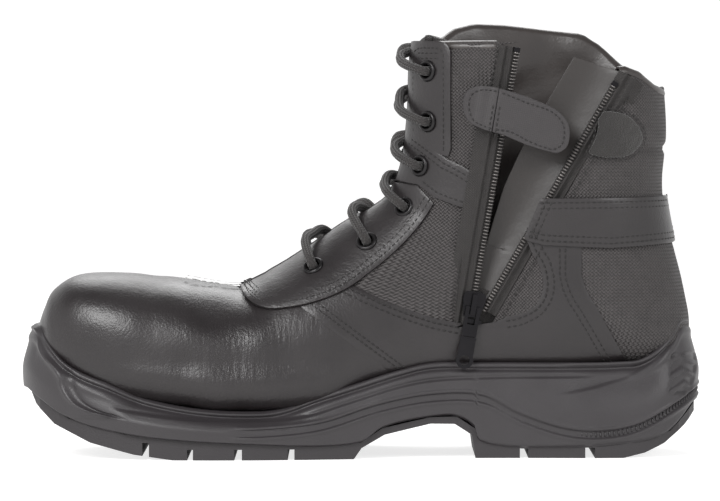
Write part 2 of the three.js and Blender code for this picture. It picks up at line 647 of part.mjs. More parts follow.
function closureFlap() {
  const geometry = new THREE.ExtrudeGeometry(
    tabShape(TAB_SEAM + GAP, TAB.rear, false, true),
    { depth: TAB_THICK, bevelEnabled: false, curveSegments: 4 },
  );
  return inZip(geometry.translate(0, 0, TAB_LIFT));
}

// ---------------------------------------------------------------- lace
// One lace: it crosses in front of the tongue, and each end is tucked in behind the top eyelets.
function acrossThroat(t, y, offset) {
  let low = 0;
  let high = Math.PI / 2;
  for (let i = 0; i < 30; i += 1) {
    const middle = (low + high) / 2;
    if (Math.abs(skinPoint(t, middle).y - section(t).shift) < Math.abs(y)) low = middle;
    else high = middle;
  }
  const angle = (low + high) / 2;
  return skin(t, y < 0 ? angle : -angle, offset);
}

function laceRoute() {
  const outLevel = GAP + OVERLAY + EYELET_LIFT + EYELET_RISE + GAP + LACE / 2;
  const inLevel = -SHELL - GAP - LACE / 2 - 0.2;
  const seatT = EYELETS.map((_, i) => eyeletSeats[0][i].t);
  const at = (side, i, offset) => {
    const seat = eyeletSeats[(side + 1) / 2][i];
    return skin(seat.t, seat.angle, offset);
  };
  // out of an eyelet, over the throat and in under the facing on the other side
  const crossing = (side, i, lift) => {
    const t0 = seatT[i];
    const t1 = i < seatT.length - 1 ? seatT[i + 1] : seatT[i] + 1.0;
    const mix = (s) => t0 + (t1 - t0) * s;
    return [
      at(side, i, inLevel + 0.2),
      at(side, i, 0),
      at(side, i, outLevel - 0.6),
      acrossThroat(mix(0.1), side * 18.5, outLevel + 1.9),
      acrossThroat(mix(0.26), side * 11, outLevel),
      acrossThroat(mix(0.48), side * 2, lift),
      acrossThroat(mix(0.59), -side * 5.8, inLevel - 0.2),
      acrossThroat(mix(0.74), -side * 13, inLevel - 0.25),
      acrossThroat(mix(0.88), -side * 19, inLevel - 0.25),
    ];
  };
  const strand = (startSide) => {
    const points = [];
    for (let i = 0; i < EYELETS.length; i += 1) {
      const side = i % 2 === 0 ? startSide : -startSide;
      points.push(...crossing(side, i, startSide < 0 ? 2.6 : -2.6));
    }
    return points;
  };
  const under0 = [-1, 0, 1].map((k) => acrossThroat(seatT[0] - 0.12, 14 * k, inLevel + 0.15));
  return [...strand(-1).reverse(), ...under0, ...strand(1)];
}

function lace() {
  const curve = new THREE.CatmullRomCurve3(laceRoute(), false, 'centripetal');
  const sides = 8;
  const round = new THREE.Shape();
  for (let i = 0; i < sides; i += 1) {
    const turn = (i / sides) * 2 * Math.PI;
    const corner = flat(Math.cos(turn), Math.sin(turn)).multiplyScalar(LACE / 2);
    if (i === 0) round.moveTo(corner.x, corner.y);
    else round.lineTo(corner.x, corner.y);
  }
  return new THREE.ExtrudeGeometry(round, { steps: 150, extrudePath: curve, bevelEnabled: false });
}

// ---------------------------------------------------------------- the boot
const boot = new THREE.Group();

function add(name, shape, color, roughness, metalness = 0) {
  const geometry = shape.isBufferGeometry ? shape : asGeometry(shape);
  const material = new THREE.MeshStandardMaterial({ color, roughness, metalness });
  const mesh = new THREE.Mesh(geometry, material);
  mesh.name = name;
  boot.add(mesh);
}

const LEATHER = '#4a4648';
const NYLON = '#504b4a';
const SOLE = '#524f51';
const DARK = '#2c2829';
const METAL = '#3a3839';
const TEXTILE = '#3d3938';

add('outsole', outsole(), SOLE, 0.75);
add('midsole_cup', midsole(), SOLE, 0.6);
add('shank', shank(), '#8a8d90', 0.4, 1);
add('puncture_plate', puncturePlate(), '#b9b4a4', 0.8);
add('insole_board', insoleBoard(), '#8f7f68', 0.9);
add('footbed', footbed(), TEXTILE, 0.95);
add('toe_cap', toeCap(), '#777a7d', 0.5, 0.6);
add('heel_counter', heelCounter(), '#8c8578', 0.7);
add('lining', lining(), '#353132', 0.9);
add('collar_padding', collarPadding(), '#6b6763', 1);
add('tongue', tongueBlank(0), NYLON, 0.85);

add('vamp', skinBlank.intersect(sidePrism(outline(vampOutline), ...BOTH)), LEATHER, 0.4);
add('quarter_medial', drillEyelets(cutFrom(skinBlank, quarterMedial, MEDIAL)), LEATHER, 0.4);
add('quarter_lateral', drillEyelets(cutFrom(skinBlank, quarterLateral, LATERAL)), LEATHER, 0.4);
add('front_panel_medial', drillEyelets(cutFrom(skinBlank, nylonFront, MEDIAL)), NYLON, 0.85);
add('rear_panel_medial', cutFrom(skinBlank, nylonRear, MEDIAL), NYLON, 0.85);
add('side_panel_lateral', drillEyelets(cutFrom(skinBlank, nylonLateral, LATERAL)), NYLON, 0.85);
add('heel_panel', cutFrom(skinBlank, heelPanel, BOTH), NYLON, 0.85);

for (const [side, range] of [['medial', MEDIAL], ['lateral', LATERAL]]) {
  add(`facing_lower_${side}`, drillEyelets(cutFrom(overlayBlank, facingLower, range)), LEATHER, 0.4);
  add(`facing_middle_${side}`, drillEyelets(cutFrom(overlayBlank, facingMiddle, range)), LEATHER, 0.4);
  add(`facing_upper_${side}`, drillEyelets(cutFrom(overlayBlank, facingUpper, range)), LEATHER, 0.4);
}
add('ankle_strap', cutFrom(overlayBlank, strapOutline, BOTH), LEATHER, 0.4);
add('loop_patch', cutFrom(overlayBlank, patchOutline, MEDIAL), DARK, 1);

eyeletSeats.flat().forEach((seat, i) => {
  const side = seat.side < 0 ? 'medial' : 'lateral';
  add(`eyelet_${side}_${(i % EYELETS.length) + 1}`, eyeletGeometry(seat), METAL, 0.35, 0.8);
});
add('lace', lace(), DARK, 0.9);

add('zip_gusset', zipGusset(), LEATHER, 0.45);
add('zip_tape_front', inZip(tape(-tapeNear - TAPE_WIDTH, -tapeNear, 0)), TEXTILE, 0.9);
add('zip_chain_front', inZip(chain(0)), METAL, 0.4, 0.5);
add('zip_top_stop_front', inZip(stop(0)), METAL, 0.3, 0.9);
add('zip_bottom_stop', inZip(box(-half, CHAIN_PITCH + half, -2.4, -0.4, -1.4, 1.4)), METAL, 0.3, 0.9);
add('zip_tape_rear', rearRow(tape(CHAIN_PITCH + tapeNear, CHAIN_PITCH + tapeNear + TAPE_WIDTH, 7)), TEXTILE, 0.9);
add('zip_chain_rear', rearRow(chain(CHAIN_PITCH)), METAL, 0.4, 0.5);
add('zip_top_stop_rear', rearRow(stop(CHAIN_PITCH)), METAL, 0.3, 0.9);
add('zip_slider', slider(), METAL, 0.3, 0.9);
add('zip_pull_link', pullLink(), METAL, 0.3, 0.9);
add('zip_pull_tab', pullTab(), METAL, 0.3, 0.9);
add('closure_tab_base', closureBase(), LEATHER, 0.6);
add('closure_tab_flap', closureFlap(), LEATHER, 0.6);

export default boot;
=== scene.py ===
# %% [markdown]
# Side-zip safety boot. The boot is a leather and nylon upper, pulled over a last and bonded into a
# moulded sole. The CAD frame holds its structure and its moving zip; this lesson makes what the eye
# sees: sewn panels, thread, lace, zip teeth and a moulded sole, each in its real place.

# %% Load the frame
import json
import math
import bpy
import numpy as np
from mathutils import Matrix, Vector
from mathutils.bvhtree import BVHTree
from mathutils.geometry import delaunay_2d_cdt
from mathutils.kdtree import KDTree


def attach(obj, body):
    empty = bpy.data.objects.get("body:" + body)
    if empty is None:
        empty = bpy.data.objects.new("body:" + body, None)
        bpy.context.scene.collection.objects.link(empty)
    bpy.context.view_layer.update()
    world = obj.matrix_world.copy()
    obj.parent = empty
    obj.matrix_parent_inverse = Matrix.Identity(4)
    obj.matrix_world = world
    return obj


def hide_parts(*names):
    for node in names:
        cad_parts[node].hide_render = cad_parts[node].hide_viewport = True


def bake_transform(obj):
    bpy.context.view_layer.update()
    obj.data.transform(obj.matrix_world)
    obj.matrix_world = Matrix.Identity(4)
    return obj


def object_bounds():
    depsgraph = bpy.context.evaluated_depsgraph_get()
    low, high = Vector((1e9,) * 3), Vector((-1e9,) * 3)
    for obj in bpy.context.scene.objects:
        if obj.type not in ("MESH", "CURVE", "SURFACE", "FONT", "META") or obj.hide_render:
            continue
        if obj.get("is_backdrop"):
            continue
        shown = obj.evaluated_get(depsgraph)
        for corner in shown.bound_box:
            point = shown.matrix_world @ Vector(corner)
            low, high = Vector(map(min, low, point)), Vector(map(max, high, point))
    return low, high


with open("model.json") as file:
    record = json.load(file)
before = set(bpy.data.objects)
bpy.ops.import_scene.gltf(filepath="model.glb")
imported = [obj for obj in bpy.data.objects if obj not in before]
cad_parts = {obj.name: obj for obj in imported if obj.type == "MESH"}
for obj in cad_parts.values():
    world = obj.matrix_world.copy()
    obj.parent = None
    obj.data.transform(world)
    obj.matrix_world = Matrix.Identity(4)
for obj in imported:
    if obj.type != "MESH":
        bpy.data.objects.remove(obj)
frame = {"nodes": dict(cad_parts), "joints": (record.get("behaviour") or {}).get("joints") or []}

cad_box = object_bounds()
MM = 0.001
print("frame", len(frame["nodes"]), "nodes, box in mm", [[round(v / MM, 1) for v in c] for c in cad_box])

# %% [markdown]
# The camera comes first. The boot is seen square from its zip side, from far away, so that nearly
# nothing is distorted. A long lens a few metres off gives that flat, product-sheet look.

# %% Camera
VIEW_WIDTH = 333.6 * MM  # what the view's width spans at the boot
VIEW_CENTRE = Vector((-1.2 * MM, 0, 93.4 * MM))
VIEW_DISTANCE = 2.4
VIEW_ELEVATION = math.radians(2.0)
SENSOR = 36

camera = bpy.data.objects.new("camera", bpy.data.cameras.new("camera"))
bpy.context.scene.collection.objects.link(camera)
camera.data.sensor_width = SENSOR
camera.data.lens = SENSOR * VIEW_DISTANCE / VIEW_WIDTH
back = Vector((0, -math.cos(VIEW_ELEVATION), math.sin(VIEW_ELEVATION)))
camera.location = VIEW_CENTRE + back * VIEW_DISTANCE
camera.rotation_euler = (-back).to_track_quat("-Z", "Y").to_euler()
bpy.context.scene.camera = camera
print("lens", round(camera.data.lens), "mm")

# %% [markdown]
# A pale sweep stands in for the studio table. One large soft light above and in front draws the broad
# highlight on the toe, and two weaker ones keep the heel and the collar from going black.

# %% Floor and lights
def new_object(name, data):
    obj = bpy.data.objects.new(name, data)
    bpy.context.scene.collection.objects.link(obj)
    return obj


def srgb(code, alpha=1.0):
    """A hex colour as the linear values that a node wants."""
    values = [int(code[i:i + 2], 16) / 255 for i in (1, 3, 5)]
    linear = [v / 12.92 if v <= 0.04045 else ((v + 0.055) / 1.055) ** 2.4 for v in values]
    return (*linear, alpha)


def node(tree, kind, inputs=None, **settings):
    """Adds a node; inputs are values or the sockets to link from."""
    made = tree.nodes.new(kind)
    for key, value in settings.items():
        setattr(made, key, value)
    for key, value in (inputs or {}).items():
        if isinstance(value, bpy.types.NodeSocket):
            tree.links.new(value, made.inputs[key])
        else:
            made.inputs[key].default_value = value
    return made


def new_material(name):
    made = bpy.data.materials.new(name)
    made.use_nodes = True
    return made, made.node_tree, made.node_tree.nodes["Principled BSDF"]


floor_paint, _, floor_shader = new_material("studio_paper_white")
floor_shader.inputs["Base Color"].default_value = srgb("#bcbbba")
floor_shader.inputs["Roughness"].default_value = 0.9
floor_shader.inputs["Emission Color"].default_value = srgb("#ffffff")
floor_shader.inputs["Emission Strength"].default_value = 0.75
FLOOR_RADIUS, FLOOR_SIDES = 12.0, 64
turns = [2 * math.pi * k / FLOOR_SIDES for k in range(FLOOR_SIDES)]
mesh = bpy.data.meshes.new("studio_floor")
mesh.from_pydata([(FLOOR_RADIUS * math.cos(a), FLOOR_RADIUS * math.sin(a), 0) for a in turns], [],
                 [list(range(FLOOR_SIDES))])
mesh.materials.append(floor_paint)
new_object("studio_floor", mesh)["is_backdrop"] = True

# bright at the horizon like a paper sweep, darker overhead so that the leather keeps its contrast
world = bpy.data.worlds.new("studio")
world.use_nodes = True
tree = world.node_tree
tree.nodes["Background"].inputs["Color"].default_value = srgb("#ffffff")
way = node(tree, "ShaderNodeTexCoord")
height = node(tree, "ShaderNodeSeparateXYZ", {0: way.outputs["Generated"]})
fall = node(tree, "ShaderNodeMapRange", {0: height.outputs[2], 1: 0.35, 2: 0.7, 3: 1.05, 4: 0.25})
tree.links.new(fall.outputs[0], tree.nodes["Background"].inputs["Strength"])
bpy.context.scene.world = world

# name, place in metres, side of the square in metres, power in watts
LIGHTS = [
    ("key_front", (-0.75, -1.15, 1.05), 0.7, 22),
    ("soft_heel", (1.1, -1.0, 0.9), 0.6, 7),
    ("rim_back", (-0.1, 1.0, 1.0), 0.8, 8),
]
for name, place, side, power in LIGHTS:
    lamp = new_object(name, bpy.data.lights.new(name, "AREA"))
    lamp.data.size = side
    lamp.data.energy = power
    lamp.location = place
    lamp.rotation_euler = (Vector((0, 0, 0.08)) - Vector(place)).to_track_quat("-Z", "Y").to_euler()
bpy.context.scene.view_settings.view_transform = "Standard"
print("lights", len(LIGHTS))

# %% [markdown]
# Full-grain leather with a smooth polished finish: a tight pebbled grain under a soft sheen, and
# slow changes of tone where the finish was rubbed in. Noise in three sizes gives exactly that:
# millimetre cells for the grain, centimetre clouds for tone and gloss.

# %% Leather
def millimetres(tree, source="Object"):
    coordinates = node(tree, "ShaderNodeTexCoord")
    return node(tree, "ShaderNodeVectorMath", {0: coordinates.outputs[source], 1: (1000, 1000, 1000)},
                operation="MULTIPLY").outputs[0]


def leather(name, dark, light, rough, grain=0.10, crease=0.0, cloud=0.045, grain_size=0.9):
    """grain and crease are bump heights in millimetres; cloud is 1 / the size of a tone patch."""
    made, tree, shader = new_material(name)
    at = millimetres(tree)
    clouds = node(tree, "ShaderNodeTexNoise", {"Vector": at, "Scale": cloud, "Detail": 3.0})
    tone = node(tree, "ShaderNodeMix", {0: clouds.outputs[0], 6: srgb(dark), 7: srgb(light)},
                data_type="RGBA")
    gloss = node(tree, "ShaderNodeMapRange",
                 {0: clouds.outputs[0], 1: 0.3, 2: 0.7, 3: rough - 0.06, 4: rough + 0.07})
    cells = node(tree, "ShaderNodeTexVoronoi", {"Vector": at, "Scale": 1 / grain_size}, feature="SMOOTH_F1")
    bump = node(tree, "ShaderNodeBump", {"Height": cells.outputs[0], "Distance": grain * MM, "Strength": 0.8})
    fine = node(tree, "ShaderNodeTexNoise", {"Vector": at, "Scale": 0.35, "Detail": 4.0})
    soft = node(tree, "ShaderNodeBump", {"Height": fine.outputs[0], "Distance": 0.25 * MM, "Strength": 0.5,
                                        "Normal": bump.outputs[0]})
    last = soft
    if crease:
        stretch = node(tree, "ShaderNodeMapping", {"Vector": at, "Rotation": (0, math.radians(32), 0),
                                                   "Scale": (0.34, 0.10, 0.055)})
        lines = node(tree, "ShaderNodeTexNoise", {"Vector": stretch.outputs[0], "Scale": 1.0, "Detail": 6.0,
                                                  "Roughness": 0.6})
        parts = node(tree, "ShaderNodeSeparateXYZ", {0: at})
        behind = node(tree, "ShaderNodeMapRange", {0: parts.outputs[0], 1: -105.0, 2: -60.0, 3: 0.15, 4: 1.0})
        fold = node(tree, "ShaderNodeMath", {0: lines.outputs[0], 1: behind.outputs[0]}, operation="MULTIPLY")
        last = node(tree, "ShaderNodeBump",
                    {"Height": fold.outputs[0], "Distance": crease * MM, "Strength": 0.9,
                                             "Normal": soft.outputs[0]})
    tree.links.new(tone.outputs[2], shader.inputs["Base Color"])
    tree.links.new(gloss.outputs[0], shader.inputs["Roughness"])
    tree.links.new(last.outputs[0], shader.inputs["Normal"])
    shader.inputs["IOR"].default_value = 1.5
    return made


LEATHER = leather("full_grain_leather_polished", "#1b1819", "#262223", 0.36)
VAMP_LEATHER = leather("full_grain_leather_creased", "#1b1819", "#262223", 0.36, crease=0.4)
LINING_LEATHER = leather("lining_leather_glazed", "#2b2726", "#3a3533", 0.34, grain=0.06, cloud=0.07)
GUSSET_LEATHER = leather("gusset_leather_matt", "#221e1d", "#2c2826", 0.48, grain=0.05)
print("leathers", 4)

# %% [markdown]
# Ballistic nylon is a basket weave of thick, flat yarns. Two yarn directions cross, each in turn on
# top, and every yarn is round. The colour is painted lighter on each yarn's crown, a painted highlight,
# and darker between the yarns, painted shade, on top of the bump that the crowns also give. The pattern
# is drawn on the piece's UV map, which is unrolled in millimetres, so it follows the boot and keeps its size.

# %% Nylon weave
def math_node(tree, operation, *values):
    return node(tree, "ShaderNodeMath", dict(enumerate(values)), operation=operation).outputs[0]


def woven(name, dark, light, yarn, rough, height, lean=45.0, sheen=0.0):
    """yarn is the width of one thread in millimetres; lean turns the weave."""
    made, tree, shader = new_material(name)
    uv = node(tree, "ShaderNodeUVMap", uv_map="unrolled")
    turned = node(tree, "ShaderNodeMapping", {"Vector": uv.outputs[0], "Rotation": (0, 0, math.radians(lean)),
                                              "Scale": (1000 / yarn, 1000 / yarn, 1)})
    parts = node(tree, "ShaderNodeSeparateXYZ", {0: turned.outputs[0]})
    a = math_node(tree, "SINE", math_node(tree, "MULTIPLY", parts.outputs[0], math.pi))
    b = math_node(tree, "SINE", math_node(tree, "MULTIPLY", parts.outputs[1], math.pi))
    over = math_node(tree, "GREATER_THAN", math_node(tree, "MULTIPLY", a, b), 0.0)
    warp = math_node(tree, "ABSOLUTE", a)
    weft = math_node(tree, "ABSOLUTE", b)
    crown = node(tree, "ShaderNodeMix", {0: over, 2: warp, 3: weft}, data_type="FLOAT").outputs[0]
    wear_and_highlight_noise = node(tree, "ShaderNodeTexNoise", {"Vector": millimetres(tree), "Scale": 0.25, "Detail": 3.0})
    # painted highlight and painted shade: the colour is lighter on the yarn crowns and darker in the gaps
    # between yarns
    shade = math_node(tree, "MULTIPLY", crown, math_node(tree, "ADD", wear_and_highlight_noise.outputs[0], 0.5))
    tone = node(tree, "ShaderNodeMix", {0: shade, 6: srgb(dark), 7: srgb(light)}, data_type="RGBA",
                clamp_factor=True)
    bump = node(tree, "ShaderNodeBump", {"Height": crown, "Distance": height * MM, "Strength": 1.0})
    tree.links.new(tone.outputs[2], shader.inputs["Base Color"])
    tree.links.new(bump.outputs[0], shader.inputs["Normal"])
    shader.inputs["Roughness"].default_value = rough
    shader.inputs["Sheen Weight"].default_value = sheen
    return made


# in each weave the dark colour is painted shade between the yarns and the light one a painted highlight on
# their crowns
NYLON = woven("ballistic_nylon_weave", "#0f0d0d", "#3d3939", 1.15, 0.6, 0.35)
TAPE_WEAVE = woven("zip_tape_woven_polyester", "#141212", "#2b2827", 0.8, 0.75, 0.15)
TAB_WEAVE = woven("closure_tab_coated_textile", "#292627", "#333031", 0.9, 0.62, 0.05, lean=0)
LACE_BRAID = woven("lace_braided_polyester", "#100e0f", "#2b2726", 1.0, 0.8, 0.35, sheen=0.15)
print("weaves", 4)

# %% [markdown]
# The sole is two moulded materials: a soft polyurethane cup with a satin skin and a denser rubber
# tread. Moulded skins are matt with a very fine spark-eroded texture. The metals are blackened brass
# and zinc, and the thread is bonded polyester.

# %% Sole, metal, thread and inner materials
def moulded(name, dark, light, rough, texture, size, metallic=0.0, sheen=0.0):
    """texture is the bump height and size the spacing of its grain, in millimetres."""
    made, tree, shader = new_material(name)
    at = millimetres(tree)
    grit = node(tree, "ShaderNodeTexNoise", {"Vector": at, "Scale": 1 / size, "Detail": 3.0})
    clouds = node(tree, "ShaderNodeTexNoise", {"Vector": at, "Scale": 0.04, "Detail": 4.0})
    tone = node(tree, "ShaderNodeMix", {0: clouds.outputs[0], 6: srgb(dark), 7: srgb(light)},
                data_type="RGBA")
    gloss = node(tree, "ShaderNodeMapRange",
                 {0: clouds.outputs[0], 1: 0.3, 2: 0.7, 3: rough - 0.06, 4: rough + 0.06})
    bump = node(tree, "ShaderNodeBump", {"Height": grit.outputs[0], "Distance": texture * MM,
                                         "Strength": 0.8})
    tree.links.new(tone.outputs[2], shader.inputs["Base Color"])
    tree.links.new(gloss.outputs[0], shader.inputs["Roughness"])
    tree.links.new(bump.outputs[0], shader.inputs["Normal"])
    shader.inputs["Metallic"].default_value = metallic
    shader.inputs["Sheen Weight"].default_value = sheen
    return made


MIDSOLE_PU = moulded("polyurethane_cup_moulded", "#282527", "#322f31", 0.44, 0.12, 0.7)
OUTSOLE_RUBBER = moulded("nitrile_rubber_tread", "#252224", "#2f2c2e", 0.62, 0.2, 0.9)
BLACK_METAL = moulded("blackened_zinc_slider", "#151416", "#29282a", 0.28, 0.02, 1.5, metallic=0.9)
TOOTH_METAL = moulded("oxidised_brass_teeth", "#5d5a59", "#8b8785", 0.34, 0.02, 1.0, metallic=0.9)
EYELET_METAL = moulded("black_lacquered_eyelet", "#1d1c1d", "#2b292a", 0.28, 0.02, 1.5, metallic=0.6)
# partly painted shade: the thread's own dark colour, made darker still to stand for the shade in the stitch
# holes
THREAD = moulded("bonded_polyester_thread_painted_dark", "#0f0d0d", "#1d1a19", 0.6, 0.1, 0.5)
LOOP_PILE = moulded("loop_pile_brushed_nylon", "#110f0f", "#292624", 0.95, 0.9, 0.5, sheen=0.4)
STEEL = moulded("toe_cap_steel_lacquered", "#6b6e70", "#83868a", 0.45, 0.05, 2.0, metallic=0.8)
FELT = moulded("footbed_needled_felt", "#2f2c2b", "#46413f", 0.95, 0.5, 0.6, sheen=0.3)
BOARD = moulded("insole_fibreboard", "#8a7a63", "#9b8b74", 0.9, 0.2, 0.8)
TEXTILE_PLATE = moulded("anti_perforation_textile", "#a9a494", "#bdb8a8", 0.85, 0.2, 0.8)
CAD_FINISH = {
    "outsole": OUTSOLE_RUBBER, "shank": STEEL, "toe_cap": STEEL, "footbed": FELT, "insole_board": BOARD,
    "heel_counter": BOARD, "puncture_plate": TEXTILE_PLATE, "zip_slider": BLACK_METAL,
    "zip_pull_link": BLACK_METAL, "zip_pull_tab": BLACK_METAL, "zip_bottom_stop": BLACK_METAL,
}
for name, finish in CAD_FINISH.items():
    data = frame["nodes"][name].data
    data.materials.clear()
    data.materials.append(finish)
print("carried over with a new finish:", len(CAD_FINISH))

# %% [markdown]
# Every sewn piece lies on one smooth body, the last. It is lofted through sections that fan from the
# toe to the collar, and each section is a superellipse from the back or bottom line to the dorsal
# line. A place on it is two numbers: t, how far along the fan, and the angle round the section, 0 on
# the dorsal line, a quarter turn on the zip side. The same rows are in the CAD source.

# %% The last
# front x, front z, back x, back z, half width, widest share, top power, bottom power, shift in y
SECTIONS = np.array([
    [-149.2, 60, -149.2, 51, 12, 0.5, 2.4, 2.4, -6], [-146.6, 67.5, -146.6, 45, 20.5, 0.45, 2.4, 2.8, -6],
    [-142, 76, -142, 41, 29, 0.42, 2.5, 3, -5.5], [-130, 82.6, -131, 35.5, 38, 0.38, 2.6, 3.2, -5],
    [-108, 83.2, -112, 30, 45.5, 0.36, 2.5, 3.2, -4], [-84, 81, -88, 26, 49.5, 0.36, 2.3, 3.2, -2],
    [-57, 77.2, -60, 23, 51.5, 0.36, 2.15, 3.2, 0], [-40, 85.5, -25, 24, 50.5, 0.36, 2.1, 3.2, 1],
    [-24, 96, 15, 28, 47, 0.42, 2.15, 3.1, 2], [-9, 106.5, 60, 32, 43, 0.46, 2.25, 3, 2],
    [3, 113, 105, 33, 41, 0.5, 2.35, 2.8, 1], [11, 119, 146, 41, 40, 0.5, 2.45, 2.6, 0],
    [15, 127, 150.6, 59, 40, 0.5, 2.5, 2.4, 0], [17.5, 134, 148, 77, 40, 0.5, 2.5, 2.4, 0],
    [19.7, 147, 142, 102, 40.5, 0.5, 2.5, 2.4, 0], [21, 162, 138.6, 124, 41, 0.5, 2.5, 2.4, 0],
    [21.5, 180, 140.4, 146, 41.5, 0.5, 2.5, 2.4, 0], [23.5, 195, 140, 168, 42, 0.5, 2.5, 2.4, 0],
    [26, 210, 139, 192, 42, 0.5, 2.5, 2.4, 0],
])
LAST_T = len(SECTIONS) - 1


def section(t):
    """Catmull-Rom blend of the rows: back point, unit direction to the front, and the shape values."""
    t = np.asarray(t, float)
    i = np.clip(np.floor(t).astype(int), 0, LAST_T - 1)
    s = (t - i)[..., None]
    a, b, c, d = (SECTIONS[np.clip(i + k, 0, LAST_T)] for k in (-1, 0, 1, 2))
    m1, m2 = (c - a) / 2, (d - b) / 2
    v = (2 * b - 2 * c + m1 + m2) * s ** 3 + (-3 * b + 3 * c - 2 * m1 - m2) * s * s + m1 * s + b
    back = v[..., 2:4]
    along = v[..., 0:2] - back
    length = np.linalg.norm(along, axis=-1)
    along = along / length[..., None]
    centre = back + along * (v[..., 5] * length)[..., None]
    return dict(back=back, along=along, length=length, centre=centre, half=v[..., 4], wide=v[..., 5],
                top=v[..., 6], bottom=v[..., 7], shift=v[..., 8])


def skin_point(t, angle):
    s = section(t)
    up, side = np.cos(angle), np.sin(angle)
    power = 2 / np.where(up >= 0, s["top"], s["bottom"])
    reach = np.where(up >= 0, 1 - s["wide"], s["wide"]) * s["length"]
    along = np.sign(up) * np.abs(up) ** power * reach
    y = s["shift"] - s["half"] * np.sign(side) * np.abs(side) ** power
    x = s["centre"][..., 0] + s["along"][..., 0] * along
    z = s["centre"][..., 1] + s["along"][..., 1] * along
    return np.stack([x, y, z], axis=-1)


def unit(v):
    return v / np.maximum(np.linalg.norm(v, axis=-1, keepdims=True), 1e-9)


def skin_normal(t, angle):
    step = 0.02
    dt = skin_point(np.minimum(t + step, LAST_T), angle) - skin_point(np.maximum(t - step, 0), angle)
    da = skin_point(t, angle + step) - skin_point(t, angle - step)
    return unit(np.cross(da, dt))


def skin(t, angle, offset=0.0):
    t, angle, offset = np.broadcast_arrays(np.asarray(t, float), angle, offset)
    return skin_point(t, angle) + skin_normal(t, angle) * offset[..., None]


def locate(x, z):
    """t and angle of the medial point that is seen at (x, z) from the side."""
    x, z = np.asarray(x, float), np.asarray(z, float)
    low, high = np.zeros_like(x), np.full_like(x, LAST_T)
    for _ in range(40):
        middle = (low + high) / 2
        s = section(middle)
        lean = (x - s["back"][..., 0]) * s["along"][..., 1] - (z - s["back"][..., 1]) * s["along"][..., 0]
        low, high = np.where(lean > 0, middle, low), np.where(lean > 0, high, middle)
    t = (low + high) / 2
    s = section(t)
    along = (x - s["centre"][..., 0]) * s["along"][..., 0] + (z - s["centre"][..., 1]) * s["along"][..., 1]
    reach = np.where(along >= 0, 1 - s["wide"], s["wide"]) * s["length"]
    power = np.where(along >= 0, s["top"], s["bottom"])
    up = np.sign(along) * np.minimum(np.abs(along) / reach, 1) ** (power / 2)
    return t, np.arccos(up)


print("last: highest point", round(float(skin_point(LAST_T, 0.0)[2]), 1), "mm")

# %% [markdown]
# The edges that many pieces share: the line where the upper meets the sole, the collar line of each
# side, the throat that the tongue fills, and the two rows of the zip. The zip's own frame comes from
# the joints, so that the teeth lie exactly on the axes that they move about.

# %% Shared lines
FEATHER = np.array([[-149, 56], [-135.5, 42.6], [-112, 33], [-81, 26], [-54, 24], [-34, 25], [-19, 29],
                    [-1, 34.6],
                    [16, 40], [31, 43.5], [57, 43.6], [119, 43.7], [130, 45], [146, 55.6], [151, 62.6]])
COLLAR_MEDIAL = [[20, 189], [26, 190.5], [71, 190.5], [112, 178], [121, 179], [128, 176.5], [136, 170.5],
                 [146, 167]]
COLLAR_LATERAL = [[18, 186], [26, 190], [35, 192], [41, 196.5], [51, 198.8], [66, 198.2], [84, 196],
                  [104, 194],
                  [112, 189], [122, 180], [129, 176], [136, 170.5], [146, 167]]
THROAT_HALF = 12
UNDER_SOLE = 7  # how far the upper runs down inside the sole
PITCH_T = np.linspace(0, LAST_T, 181)


def solve_angle(goal, low, high, steps=40):
    """The angle for each row of PITCH_T at which goal(t, angle) turns from true to false."""
    low, high = np.full_like(PITCH_T, low), np.full_like(PITCH_T, high)
    for _ in range(steps):
        middle = (low + high) / 2
        keep = goal(PITCH_T, middle)
        low, high = np.where(keep, middle, low), np.where(keep, high, middle)
    return (low + high) / 2


def above_sole(t, angle):
    p = skin_point(t, angle)
    return p[..., 2] > np.interp(p[..., 0], FEATHER[:, 0], FEATHER[:, 1]) - UNDER_SOLE


throat_table = solve_angle(
    lambda t, a: np.abs(skin_point(t, a)[..., 1] - section(t)["shift"]) < THROAT_HALF, 0, math.pi / 2)
sole_table = solve_angle(above_sole, 0, math.pi)


def throat_angle(t):
    return np.interp(t, PITCH_T, throat_table)


def sole_angle(t):
    return np.interp(t, PITCH_T, sole_table)


joints = {j["name"]: j for j in frame["joints"]}
UP = np.array(joints["zip_slide"]["axis"])
OUT = np.array(joints["zip_flap_close"]["axis"])
ACROSS = -np.array(joints["zip_pull_swing"]["axis"])
OPENING = math.radians(joints["zip_flap_close"]["range_deg"][1])
PIVOT = np.array(joints["zip_flap_close"]["pos_m"]) / MM
CHAIN_PITCH = 3.6  # centre of one row to the other when closed
FOOT = PIVOT - ACROSS * CHAIN_PITCH
CHAIN_START, CHAIN_END = 4.0, 122.5
ZIP_EDGE = 6.3  # edge of the panel from the centre of its row


def zip_point(x, y, z=0.0, rear=False):
    """A point of the zip: x to the heel, y up the row, z out. rear measures from the open rear row."""
    x, y, z = np.broadcast_arrays(np.asarray(x, float), y, z)
    if rear:
        cos, sin = math.cos(OPENING), math.sin(OPENING)
        x, y = CHAIN_PITCH + x * cos + y * sin, y * cos - x * sin
    return FOOT + x[..., None] * ACROSS + y[..., None] * UP + z[..., None] * OUT


def zip_view(x, y, rear=False):
    p = zip_point(x, y, 0.0, rear)
    return [float(p[0]), float(p[2])]


def from_view(x, z, height):
    """The zip's own x and y of the point at this height over the zip plane, seen at (x, z)."""
    sides = np.array([[ACROSS[0], UP[0]], [ACROSS[2], UP[2]]])
    rest = np.array([x - FOOT[0] - OUT[0] * height, z - FOOT[2] - OUT[2] * height])
    return np.linalg.solve(sides, rest)


print("zip foot", FOOT.round(1), "opening", round(math.degrees(OPENING), 1))

